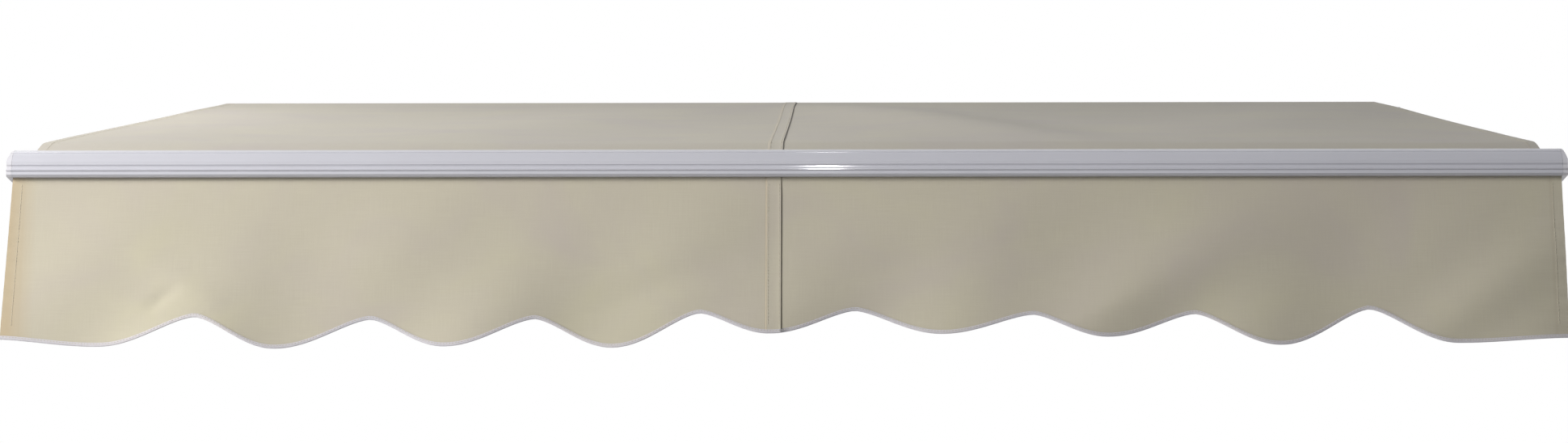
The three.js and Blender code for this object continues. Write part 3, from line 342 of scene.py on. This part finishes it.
# Woven cloth: a plain weave whose threads pass over and under each other, with slubs along both
weave, taken, given = new_group(
    "plain_weave",
    [("Vector", "Vector", None), ("Thread", "Float", 0.0009),
     ("Light", "Color", (0.6, 0.56, 0.46, 1)), ("Dark", "Color", (0.4, 0.36, 0.3, 1))],
    [("Color", "Color", None), ("Height", "Float", None), ("Roughness", "Float", None)],
)
turn = maths(weave, "DIVIDE", math.pi, taken["Thread"])
counted = place(weave, "ShaderNodeVectorMath", {0: taken["Vector"], "Scale": turn},
                operation="SCALE")
axes = place(weave, "ShaderNodeSeparateXYZ", {0: counted.outputs[0]}).outputs
knit = maths(weave, "MULTIPLY", maths(weave, "SINE", axes["X"]), maths(weave, "SINE", axes["Y"]))
raised = maths(weave, "ABSOLUTE", knit)
slubs = []
for slub_scale in ((900.0, 22.0, 1.0), (22.0, 900.0, 1.0)):
    drawn = place(weave, "ShaderNodeMapping", {"Vector": taken["Vector"], "Scale": slub_scale})
    slubs.append(noise(weave, drawn.outputs[0], 1.0, 2.0))
slub = ramp(weave, maths(weave, "ADD", *slubs), 0.7, 1.3)
tone = ramp(weave, maths(weave, "MULTIPLY_ADD", raised, 0.35, slub), 0.0, 1.2)
feed(weave, given, {
    "Color": blend(weave, tone, taken["Dark"], taken["Light"]),
    "Height": maths(weave, "MULTIPLY_ADD", slub, 0.4, raised),
    "Roughness": ramp(weave, slub, 0.0, 1.0, 0.78, 0.92),
})

# Mottle: wide warm and cool patches, as rain and sun leave on canvas
mottle, taken, given = new_group(
    "weather_patches",
    [("Vector", "Vector", None), ("Cloth", "Color", (0.6, 0.56, 0.46, 1)),
     ("Warm", "Color", (0.6, 0.5, 0.4, 1)), ("Cool", "Color", (0.5, 0.48, 0.5, 1)),
     ("Amount", "Float", 0.5)],
    [("Color", "Color", None)],
)
broad = noise(mottle, taken["Vector"], 4.3, 4.0, Distortion=0.7)
warm_part = maths(mottle, "MULTIPLY", ramp(mottle, broad, 0.52, 0.74), taken["Amount"])
cool_part = maths(mottle, "MULTIPLY", ramp(mottle, broad, 0.5, 0.3), taken["Amount"])
warmed = blend(mottle, warm_part, taken["Cloth"], taken["Warm"])
feed(mottle, given, {"Color": blend(mottle, cool_part, warmed, taken["Cool"])})

# Sewn line: a narrow soft line of colour at one place along x. It draws the tinted lines of the
# seam and hems, and the painted shade beside the seam's free edge
sewn, taken, given = new_group(
    "sewn_line",
    [("X", "Float", 0.0), ("Cloth", "Color", (0.6, 0.56, 0.46, 1)),
     ("Line", "Color", (0.2, 0.18, 0.15, 1)), ("Place", "Float", 0.0),
     ("Half Width", "Float", 0.002), ("Amount", "Float", 0.5)],
    [("Color", "Color", None)],
)
off_line = maths(sewn, "ABSOLUTE", maths(sewn, "SUBTRACT", taken["X"], taken["Place"]))
on_line = ramp(sewn, off_line, taken["Half Width"], 0.0, 0.0, taken["Amount"])
feed(sewn, given, {"Color": blend(sewn, on_line, taken["Cloth"], taken["Line"])})

cloth_half = 1.2
seam_middle, seam_overlap, side_hem = -0.017, 0.023, 0.018
seam_left, seam_right = seam_middle - seam_overlap / 2, seam_middle + seam_overlap / 2
# Place along x, half width, colour and amount of each line
seam_lines_and_painted_shade = [
    # The first is painted shade: a dark line on the cloth just past the seam's free edge, where the
    # lip's shadow falls
    (seam_right + 0.0006, 0.0018, (104, 96, 84), 0.70),
    (seam_left, 0.0026, (164, 146, 116), 0.40),
    (-cloth_half + side_hem, 0.0040, (172, 158, 132), 0.15),
    (cloth_half - side_hem, 0.0040, (165, 152, 132), 0.20),
]
# The canopy's lines, its painted seam shade among them, are fainter than the valance's
faint_lines_and_painted_shade = [(*mark[:3], 0.45 * mark[3]) for mark in seam_lines_and_painted_shade]


def canvas(name, light, dark, warm, cool, marks=(), band=None):
    """Awning canvas: plain weave on the piece's own map in metres, weather patches, tinted lines of
    the seam and hems, and a painted shade line beside the seam's free edge. band is where a tint
    along x starts and is full, and its colour."""
    cloth, tree, shader, where = new_finish(name)
    flat = place(tree, "ShaderNodeUVMap", uv_map="cloth_metres").outputs[0]
    threads = use_group(tree, weave, {"Vector": flat, "Thread": 0.0009, "Light": linear(*light),
                                      "Dark": linear(*dark)})
    patches = use_group(tree, mottle, {"Vector": where, "Cloth": threads["Color"],
                                       "Warm": linear(*warm), "Cool": linear(*cool),
                                       "Amount": 0.55})
    colour = patches["Color"]
    along = place(tree, "ShaderNodeSeparateXYZ", {0: where}).outputs["X"]
    # Lines of tint along x; the dark one at the seam's free edge is painted shade
    for line_x, line_half, line_colour, line_amount in marks:
        line = use_group(tree, sewn, {"X": along, "Cloth": colour, "Line": linear(*line_colour),
                                      "Place": line_x, "Half Width": line_half,
                                      "Amount": line_amount})
        colour = line["Color"]
    if band:
        band_from, band_to, band_colour = band
        colour = blend(tree, ramp(tree, along, band_from, band_to), colour, linear(*band_colour))
    feed(tree, shader, {"Base Color": colour, "Roughness": threads["Roughness"],
                        "Sheen Weight": 0.08, "Specular IOR Level": 0.25})
    roughen(tree, shader, 0.25, 0.0003, threads["Height"])
    return cloth


beige_canvas = canvas("beige_canvas", (183, 178, 167), (178, 172, 161), (186, 181, 164),
                      (176, 169, 165), marks=faint_lines_and_painted_shade)


def hang_mesh(name, places, faces, finish, body, metres=None, smooth=40):
    """Makes a piece from arrays of places and faces, with a map in metres, and hangs it on a
    body. Edges that bend by more than smooth degrees stay sharp."""
    mesh = bpy.data.meshes.new(name)
    mesh.from_pydata(places.tolist(), [], faces)
    if metres is not None:
        corner = np.zeros(len(mesh.loops), np.int32)
        mesh.loops.foreach_get("vertex_index", corner)
        uv = mesh.uv_layers.new(name="cloth_metres").data
        uv.foreach_set("uv", metres[corner].astype(np.float32).ravel())
    mesh.polygons.foreach_set("use_smooth", np.ones(len(mesh.polygons), bool))
    mesh.set_sharp_from_angle(angle=math.radians(smooth))
    mesh.materials.append(finish)
    mesh.update()
    piece = bpy.data.objects.new(name, mesh)
    bpy.context.scene.collection.objects.link(piece)
    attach(piece, body)
    return piece


def outwards(places, faces):
    """Faces of a closed mesh that all face outwards: turned over if six times its volume,
    the sum of a . (b x c) over its triangles, is negative."""
    triangles = faces
    if faces.shape[1] == 4:
        triangles = np.vstack([faces[:, [0, 1, 2]], faces[:, [0, 2, 3]]])
    a, b, c = (places[triangles[:, i]] for i in range(3))
    volume = np.einsum("ij,ij->i", a, np.cross(b, c)).sum()
    return (faces[:, ::-1] if volume < 0 else faces).tolist()


def grid_faces(rows, columns, start=0):
    """The quads of a grid stored row after row: a point, its neighbour and the two in the
    next row."""
    first = (np.arange(rows - 1)[:, None] * columns + np.arange(columns - 1)[None, :]).ravel()
    first = first + start
    return np.stack([first, first + 1, first + columns + 1, first + columns], axis=1)


def closed_sheet(face, back):
    """A thin closed solid: two grids of one size, joined by a strip of quads round them."""
    rows, columns = face.shape[:2]
    count = rows * columns
    front = grid_faces(rows, columns)
    rear = grid_faces(rows, columns, count)[:, ::-1]
    numbers = np.arange(count).reshape(rows, columns)
    border = np.concatenate([numbers[0, :-1], numbers[:-1, -1], numbers[-1, :0:-1],
                             numbers[:0:-1, 0]])
    after = np.roll(border, -1)
    rim = np.stack([after, border, border + count, after + count], axis=1)
    places = np.vstack([face.reshape(-1, 3), back.reshape(-1, 3)])
    return places, np.vstack([front, rear, rim])


def cloth_piece(name, face, back, across, down, finish, body):
    """A sheet of canvas from its two faces, mapped by its metres across and down."""
    places, faces = closed_sheet(face, back)
    metres = np.stack(np.broadcast_arrays(across, down), axis=2).reshape(-1, 2)
    metres = np.vstack([metres, metres])
    return hang_mesh(name, places, outwards(places, faces), finish, body, metres)


roller_low, roller_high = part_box("roller_tube")
roller_centre = np.array([(roller_low[i] + roller_high[i]) / 2 for i in (1, 2)])
roller_radius = (roller_high[2] - roller_low[2]) / 2
wound_low, wound_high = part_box("cloth_roll")
wound_radius = (wound_high[2] - wound_low[2]) / 2
layer_gap, layer_thickness, tube_gap = 0.0006, 0.00045, 0.0001
mean_radius = 0.0365
turns = (wound_radius - roller_radius - tube_gap) / layer_gap
wound_rows, wound_columns = 241, 61
wound_angle = np.linspace(0, 2 * math.pi * turns, wound_rows)[:, None]
wound_x = np.linspace(-cloth_half, cloth_half, wound_columns)[None, :]
leave_angle = math.radians(105.0)


def wound(radius_shift):
    """A spiral round the roller's axis: its radius grows by one layer a turn and swells a
    hair in slow waves along x."""
    swell = 0.00012 * np.sin(wound_x * 21.0 + 1.3) + 0.00010 * np.sin(wound_x * 8.3)
    radius = (roller_radius + tube_gap + layer_gap * wound_angle / (2 * math.pi)
              + swell * wound_angle / wound_angle.max() + radius_shift)
    turn = leave_angle + wound_angle - wound_angle.max()
    y = roller_centre[0] + radius * np.cos(turn)
    z = roller_centre[1] + radius * np.sin(turn)
    return np.stack([wound_x + 0 * y, y, z], axis=2)


rolled_cloth = cloth_piece("rolled_cloth", wound(0.0), wound(-layer_thickness), wound_x,
                           wound_angle * mean_radius, beige_canvas, "roller")
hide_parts("cloth_roll")

# Folding arms
# Each arm is two painted aluminium profiles between cast joints, on plated pins, with a steel
# spring and a cable in the upper one. A cast clamp holds it on the torsion bar.
white_aluminium = powder_coat("white_painted_aluminium", (209, 209, 216), 0.38, 0.3)
arm_finishes = [
    (white_aluminium, ("upper_arm", "forearm")),
    (white_casting, ("shoulder_clamp", "shoulder_knuckle", "upper_arm_root", "elbow_fork",
                     "elbow_tongue", "wrist_fork", "wrist_block", "front_bracket")),
    (zinc, ("clamp_plate", "pitch_pin", "shoulder_pin", "elbow_pin", "wrist_pin")),
    (galvanised, ("arm_spring", "arm_cable")),
]
for hand in ("left", "right"):
    for finish, names in arm_finishes:
        dress(finish, *(f"{hand}_{name}" for name in names))

# Front bar
# One extruded aluminium profile with a round nose, a fine groove, a cove and a bead, with a moulded
# cap at each end. Its bluish white paint is smoother than the other pieces' and glints.
bar_paint = powder_coat("white_front_bar", (193, 193, 202), 0.44, 0.03, peel_size=700.0,
                        bump=0.006, coat=0.3, coat_roughness=0.05)
dress(bar_paint, "front_bar")

# Canopy
# Two widths of canvas sewn side by side with an overlapped seam and a hem at each side. It runs
# from the slot in the front bar to the roller, sags a little and is creased off its seam.
slot_low, slot_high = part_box("front_keder")
slot_centre = np.array([(slot_low[i] + slot_high[i]) / 2 for i in (1, 2)])
roll_gap = 0.0006
lies_at = wound_radius + roll_gap
reach = roller_centre - slot_centre
span = np.hypot(*reach)
canopy_pitch = math.atan2(reach[1], reach[0]) + math.asin(lies_at / span)
canopy_run = math.sqrt(span ** 2 - lies_at ** 2)
uphill = np.array([math.cos(canopy_pitch), math.sin(canopy_pitch)])
outward = np.array([-math.sin(canopy_pitch), math.cos(canopy_pitch)])
cloth_thickness = 0.0006
# Where a cloth starts, off the middle of its slot: half a cord and its clearance
cord_edge = 0.0037
canopy_sag = 0.0015
lip_height, lip_reach = 0.0006, 0.006
front_rise, rise_start, rise_reach = 0.016, 0.094, 0.10
# Slow waves: height, radians a metre along x, radians over the run, and phase
canopy_waves = [(0.0016, 5.1, 2.0, 0.0), (0.0012, 9.7, -3.1, 0.8)]
# Soft creases: start x and run, end x and run, half width, height
canopy_creases = [
    (-0.06, 2.05, 0.52, 0.02, 0.18, 0.0120),
    (0.02, 1.60, 1.15, 0.40, 0.22, 0.0040),
    (-0.03, 1.90, -0.75, 0.20, 0.25, 0.0035),
    (1.18, 1.90, 0.62, 0.30, 0.20, 0.0035),
    (-1.18, 1.85, -0.80, 0.60, 0.18, 0.0030),
]
# Puckers along the seam: height, length of one, and how far from the seam they reach
seam_pucker, pucker_length, pucker_reach = 0.0006, 0.034, 0.03
# How fast waves and puckers grow from the canopy's held ends
wave_growth, pucker_growth = 1.6, 30
# Places of the columns beside the edge of a layer, and the room that they keep to the others
edge_steps, edge_room = (-0.0045, -0.0025, -0.0003, 0.0003), 0.006
canopy_spacing, canopy_rows = 0.014, 141


def stepped(edges, half, spacing):
    """Places across the cloth, even but with four close together where a layer ends."""
    even = np.linspace(-half, half, int(2 * half / spacing) + 1)
    clear = np.abs(even[:, None] - np.array(edges)[None, :]).min(axis=1) > edge_room
    close = [edge + step for edge in edges for step in edge_steps]
    return np.sort(np.concatenate([even[clear], np.array(close)]))


def in_hem(x):
    """1 where a side hem is folded under the cloth, and 0 elsewhere."""
    return (np.abs(x) > cloth_half - side_hem) * 1.0


def in_seam(x):
    """1 where the left strip laps over the right one, and 0 elsewhere."""
    return (np.abs(x - seam_middle) < seam_overlap / 2) * 1.0


def lip(x):
    """How far the free edge of the seam curls off the cloth: a ramp, to the power 1.5, that
    ends at the edge."""
    return lip_height * np.clip(1 + (x - seam_right) / lip_reach, 0, 1) ** 1.5 * (x < seam_right)


def crease(x, run, start_x, start_run, end_x, end_run, width, height):
    """A soft ridge along a straight line: exp(-2.2 (off / width)^2) across it, and half a
    sine along it."""
    line = np.array([end_x - start_x, end_run - start_run])
    length = np.hypot(*line)
    along = ((x - start_x) * line[0] + (run - start_run) * line[1]) / length
    off = ((x - start_x) * line[1] - (run - start_run) * line[0]) / length
    share = np.clip(along / length, 0, 1)
    return height * np.exp(-((off / width) ** 2) * 2.2) * np.sin(math.pi * share)


def canopy_middle(x, run):
    """Height of the cloth's middle over the line from slot to roller: a smooth step up behind
    the bar that fades to the roller, less the sag 4 s (1 - s), with waves, creases and puckers
    that start off the bar."""
    share = (run - cord_edge) / (canopy_run - cord_edge)
    held = 4 * share * (1 - share)
    slow = sum(height * np.sin(rate * x + slant * share + phase)
               for height, rate, slant, phase in canopy_waves)
    folded = sum(crease(x, run, *one) for one in canopy_creases)
    pucker = (seam_pucker * np.sin(2 * math.pi * run / pucker_length)
              * np.exp(-np.abs(x - seam_middle) / pucker_reach))
    begun = np.clip((run - rise_start) / rise_reach, 0, 1)
    rise = front_rise * begun ** 2 * (3 - 2 * begun) * (1 - share)
    waves = (slow + folded) * np.minimum(begun, held * wave_growth)
    pucker = pucker * np.minimum(1, pucker_growth * share * (1 - share))
    return lip(x) + rise - canopy_sag * held + waves + pucker


def canopy_point(x, run, lift):
    """A place on the canopy from x, the run up from the slot and a lift off the line."""
    y = slot_centre[0] + run * uphill[0] + lift * outward[0]
    z = slot_centre[1] + run * uphill[1] + lift * outward[1]
    return np.stack(np.broadcast_arrays(x, y, z), axis=-1)


hem_edges = [-cloth_half + side_hem, cloth_half - side_hem, seam_left, seam_right]
canopy_x = stepped(hem_edges, cloth_half, canopy_spacing)[None, :]
canopy_r = np.linspace(cord_edge, canopy_run, canopy_rows)[:, None]
middle = canopy_middle(canopy_x, canopy_r) + 0 * canopy_x
upper = middle + cloth_thickness * (0.5 + in_seam(canopy_x))
lower = middle - cloth_thickness * (0.5 + in_hem(canopy_x))
canopy_cloth = cloth_piece("canopy_cloth", canopy_point(canopy_x, canopy_r, upper),
                           canopy_point(canopy_x, canopy_r, lower), canopy_x, canopy_r,
                           beige_canvas, "canopy_sheet")
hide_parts("canopy")

white_thread = powder_coat("sewing_thread", (190, 182, 164), 0.8, 0.1, peel_size=2600.0,
                           bump=0.3, coat=0.0)


def stitch_row(centres, ahead, off, length, width):
    """A row of stitches: each is a ball of three rings of six points and two poles, drawn out
    along the seam (ahead) and pressed flat on the cloth (off)."""
    ring, rings = 6, 3
    tilt = math.pi * np.arange(1, rings + 1) / (rings + 1)
    spin = 2 * math.pi * np.arange(ring) / ring
    ball = np.stack([
        np.repeat(np.cos(tilt), ring),
        np.outer(np.sin(tilt), np.cos(spin)).ravel(),
        np.outer(np.sin(tilt), np.sin(spin)).ravel(),
    ], axis=1)
    ball = np.vstack([[1, 0, 0], ball, [-1, 0, 0]])
    here = np.arange(ring)
    there = (here + 1) % ring
    last = 1 + (rings - 1) * ring
    template = [np.stack([0 * here, 1 + here, 1 + there], axis=1),
                np.stack([0 * here + last + ring, last + there, last + here], axis=1)]
    for k in range(rings - 1):
        a, b = 1 + k * ring + here, 1 + k * ring + there
        template += [np.stack([a, a + ring, b], axis=1), np.stack([b, a + ring, b + ring], axis=1)]
    template = np.vstack(template)
    beside = np.cross(ahead, off)
    places = (centres[:, None, :] + ahead[:, None, :] * (ball[:, 0] * length / 2)[None, :, None]
              + beside[:, None, :] * (ball[:, 1] * width / 2)[None, :, None]
              + off[:, None, :] * (ball[:, 2] * width / 2.6)[None, :, None])
    faces = template[None] + (np.arange(len(centres)) * len(ball))[:, None, None]
    return places.reshape(-1, 3), faces.reshape(-1, 3)


def stitching(name, rows, body):
    """Several rows of stitches as one piece of white thread."""
    starts = np.cumsum([0] + [len(row[0]) for row in rows[:-1]])
    places = np.vstack([row[0] for row in rows])
    faces = np.vstack([row[1] + start for row, start in zip(rows, starts)])
    return hang_mesh(name, places, outwards(places, faces), white_thread, body,
                     smooth=80)


stitch_step, stitch_length, stitch_width = 0.0052, 0.0036, 0.0011
edge_to_stitch, bar_to_stitch, roll_to_stitch = 0.003, 0.03, 0.004
sewn_runs = np.arange(cord_edge + bar_to_stitch, canopy_run - roll_to_stitch, stitch_step)
sewn_lines = [seam_left + edge_to_stitch, seam_right - edge_to_stitch,
              -cloth_half + side_hem - edge_to_stitch, cloth_half - side_hem + edge_to_stitch]
rows = []
for sewn_x in sewn_lines:
    x = np.full(len(sewn_runs), sewn_x)
    height = canopy_middle(x, sewn_runs) + cloth_thickness * (0.5 + in_seam(x))
    rows.append(stitch_row(canopy_point(x, sewn_runs, height), np.tile([0, *uphill], (len(x), 1)),
                           np.tile([0, *outward], (len(x), 1)), stitch_length, stitch_width))
canopy_stitching = stitching("canopy_stitching", rows, "canopy_sheet")
# The canopy's cloth and its stitching each get a mesh of their own
for piece in (canopy_cloth, canopy_stitching):
    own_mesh(piece)

# Valance
# The same canvas hangs from a second slot under the front bar. Its lower edge is cut in waves
# that meet in a point at the seam, and a folded white tape binds it.
hang_low, hang_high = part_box("valance_keder")
hang_line = np.array([(hang_low[i] + hang_high[i]) / 2 for i in (1, 2)])
bar_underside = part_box("front_bar")[0][2]
valance_top = hang_line[1] - cord_edge
tape_high, tape_thick, tape_slot, fold_gap = 0.006, 0.0024, 0.0044, 0.0003
# The cut's turning points: place along x, and drop from the underside of the bar
wave_points = np.array([
    (-1.200, 0.2530), (-1.055, 0.2635), (-0.908, 0.2190), (-0.787, 0.2670), (-0.638, 0.2220),
    (-0.523, 0.2650), (-0.384, 0.2215), (-0.265, 0.2655), (-0.130, 0.2130), (-0.024, 0.2450),
    (0.1086, 0.2085), (0.243, 0.2455), (0.382, 0.2155), (0.4955, 0.2500), (0.630, 0.2145),
    (0.760, 0.2630), (0.8975, 0.2070), (1.032, 0.2600), (1.200, 0.2525),
])
lobe_power, hem_drop = 0.75, 0.0012
flare_left, flare_right, flare_full_at = 0.010, 0.002, 0.25
flare_reach_left, flare_reach_right = 0.12, 0.06
# The drop at which waves and creases are full
wave_full_at = 0.222
# Slow waves: height, share of x, share of the drop, length and phase
valance_waves = [
    (0.0035, 1.0, 0.0, 0.41, 0.0),
    (0.0014, 1.0, 0.55, 0.23, 0.9),
    (0.0016, 0.7, 0.9, 0.29, 0.4),
]
# Soft creases: start x and drop, end x and drop, half width, height
valance_creases = [
    (-0.83, 0.052, -0.62, 0.100, 0.018, -0.0030),
    (-0.83, 0.066, -0.62, 0.114, 0.026, 0.0018),
    (-0.86, 0.205, -1.02, 0.110, 0.034, -0.0020),
    (-0.99, 0.215, -0.93, 0.165, 0.016, 0.0016),
    (0.42, 0.280, 0.80, -0.010, 0.095, -0.0120),
    (0.91, 0.310, 1.26, 0.040, 0.075, -0.0110),
    (0.02, 0.150, 0.40, 0.110, 0.050, 0.0022),
    (-0.30, 0.210, -0.06, 0.120, 0.040, 0.0022),
    (0.42, 0.240, 0.58, 0.170, 0.030, -0.0012),
]
# Puckers down the side hems: their heights, length of one, and how far from the edge they reach
hem_pucker_left, hem_pucker_right = 0.0003, 0.0007
hem_pucker_length, hem_pucker_reach = 0.026, 0.025
# How fast the seam's lip and the puckers grow from the bar down
lip_growth, hem_pucker_growth = 8, 3
valance_spacing, valance_rows = 0.008, 49


def wave_drop(x):
    """How far the cut edge hangs under the bar: half a cosine between turning points, raised
    to a power that fills its lobes."""
    step = np.searchsorted(wave_points[:, 0], x, side="right") - 1
    step = np.clip(step, 0, len(wave_points) - 2)
    here, there = wave_points[step], wave_points[step + 1]
    part = np.clip((x - here[..., 0]) / (there[..., 0] - here[..., 0]), 0, 1)
    share = 0.5 - 0.5 * np.cos(math.pi * part)
    share = np.where(there[..., 1] > here[..., 1], share, 1 - share)
    least = np.minimum(here[..., 1], there[..., 1])
    return hem_drop + least + np.abs(there[..., 1] - here[..., 1]) * share ** lobe_power


def valance_lean(x, z):
    """Where the hanging cloth's middle lies in y: slow waves and creases that grow as it
    drops, the seam's lip, and puckers that fade as exp(-distance / reach) off its side hems."""
    drop = bar_underside - z
    share = np.clip(drop / wave_full_at, 0, 1.2)
    slow = sum(height * np.sin(2 * math.pi * (along * x + down * drop) / length + phase)
               for height, along, down, length, phase in valance_waves)
    folded = sum(crease(x, drop, *one) for one in valance_creases)
    pucker = (np.where(x < 0, hem_pucker_left, hem_pucker_right)
              * np.sin(2 * math.pi * drop / hem_pucker_length)
              * np.exp(-(cloth_half - np.abs(x)) / hem_pucker_reach))
    return (hang_line[0] - lip(x) * np.minimum(1, share * lip_growth) + (slow + folded) * share
            + pucker * np.minimum(1, share * hem_pucker_growth))


def spread(x, z):
    """Where a point of the valance lies along x: its ends flare outwards as it drops, by a
    share that fades as exp(-distance / reach) from the end."""
    share = np.clip((bar_underside - z) / flare_full_at, 0, 1.2)
    return x + share * (flare_right * np.exp(-(cloth_half - x) / flare_reach_right)
                        - flare_left * np.exp(-(cloth_half + x) / flare_reach_left))


valance_x = stepped(hem_edges, cloth_half, valance_spacing)[None, :]
valance_share = np.linspace(0, 1, valance_rows)[:, None]
cut_edge = bar_underside - wave_drop(valance_x) + tape_high - tape_slot + fold_gap
valance_z = valance_top + (cut_edge - valance_top) * valance_share
lean = valance_lean(valance_x, valance_z)
before = lean - cloth_thickness * (0.5 + in_seam(valance_x))
behind = lean + cloth_thickness * (0.5 + in_hem(valance_x))
wide_x = spread(valance_x, valance_z)
valance_canvas = canvas("valance_canvas", (191, 185, 168), (185, 178, 161), (194, 189, 162),
                        (183, 174, 167), marks=seam_lines_and_painted_shade, band=(-1.160, -1.200, (184, 169, 143)))
valance_cloth = cloth_piece("valance_cloth", np.stack([wide_x, before, valance_z], axis=2),
                            np.stack([wide_x, behind, valance_z], axis=2), valance_x, valance_z,
                            valance_canvas, "front")
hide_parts("valance")

# The tape's section is a U that opens upwards, with rounded lower corners
tape_section = np.array([
    (-0.5, 0.22), (-0.36, 0.05), (-0.14, 0.0), (0.14, 0.0), (0.36, 0.05), (0.5, 0.22),
    (0.5, 0.8), (0.47, 1.0), (0.36, 1.0), (0.36, 0.28), (-0.36, 0.28), (-0.36, 1.0),
    (-0.47, 1.0), (-0.5, 0.8),
]) * np.array([tape_thick, tape_high])
tape_x = valance_x.ravel()
tape_z = (bar_underside - wave_drop(tape_x))[:, None] + tape_section[None, :, 1]
tape_y = valance_lean(tape_x[:, None], tape_z) + tape_section[None, :, 0]
places = np.stack([spread(tape_x[:, None], tape_z), tape_y, tape_z], axis=2).reshape(-1, 3)
around = len(tape_section)
ring = np.arange(around)
after = (ring + 1) % around
start = (np.arange(len(tape_x) - 1) * around)[:, None]
walls = np.stack([start + ring, start + after, start + around + after, start + around + ring],
                 axis=2).reshape(-1, 4)
# Each end is closed by faces between the section's outer and inner walls
end_faces = np.array([(0, 5, 9, 10), (1, 4, 5, 0), (2, 3, 4, 1), (5, 6, 8, 9), (6, 7, 8, 8),
                      (13, 0, 10, 11), (12, 13, 11, 11)])
far_end = (len(tape_x) - 1) * around
faces = np.vstack([walls, end_faces[:, ::-1], end_faces + far_end]).tolist()
# A number that comes twice marks a triangle
faces = [tuple(dict.fromkeys(face)) for face in faces]
white_tape = canvas("white_binding_tape", (206, 203, 208), (190, 187, 193), (205, 199, 196),
                    (188, 187, 194))
valance_tape = hang_mesh("valance_tape", places, faces, white_tape, "front",
                         metres=places[:, [0, 2]], smooth=50)
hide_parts("valance_binding")

# Stitches down the seam and the hems, on the front, and along both faces of the tape
rows = []
first_stitch, last_stitch, tape_to_stitch = 0.012, 0.235, 0.008
sewn_drops = np.arange(first_stitch, last_stitch, stitch_step)
for sewn_x in sewn_lines:
    lowest = wave_drop(np.array(sewn_x)) - tape_to_stitch
    z = bar_underside - sewn_drops[sewn_drops < lowest]
    x = np.full(len(z), sewn_x)
    y = valance_lean(x, z) - cloth_thickness * (0.6 + in_seam(x))
    rows.append(stitch_row(np.stack([spread(x, z), y, z], axis=1),
                           np.tile([0.0, 0.0, 1.0], (len(z), 1)),
                           np.tile([0.0, -1.0, 0.0], (len(z), 1)), stitch_length, stitch_width))
tape_stitch_step, tape_stitch_length, tape_stitch_width = 0.0046, 0.0032, 0.0009
tape_stitch_lift, tape_stitched_half = 0.0042, 1.195
sewn_x = np.arange(-tape_stitched_half, tape_stitched_half, tape_stitch_step)
slope_step = 0.001
slope = (wave_drop(sewn_x + slope_step) - wave_drop(sewn_x - slope_step)) / (2 * slope_step)
ahead = np.stack([np.ones_like(slope), 0 * slope, -slope], axis=1)
ahead = ahead / np.sqrt(1 + slope ** 2)[:, None]
z = bar_underside - wave_drop(sewn_x) + tape_stitch_lift
for face in (-1.0, 1.0):
    y = valance_lean(sewn_x, z) + face * (tape_thick / 2)
    rows.append(stitch_row(np.stack([spread(sewn_x, z), y, z], axis=1), ahead,
                           np.tile([0.0, face, 0.0], (len(z), 1)),
                           tape_stitch_length, tape_stitch_width))
valance_stitching = stitching("valance_stitching", rows, "front")

# The cords in the slots, sewn into the cloths' edges
dress(white_tape, "front_keder", "valance_keder", "rear_keder")
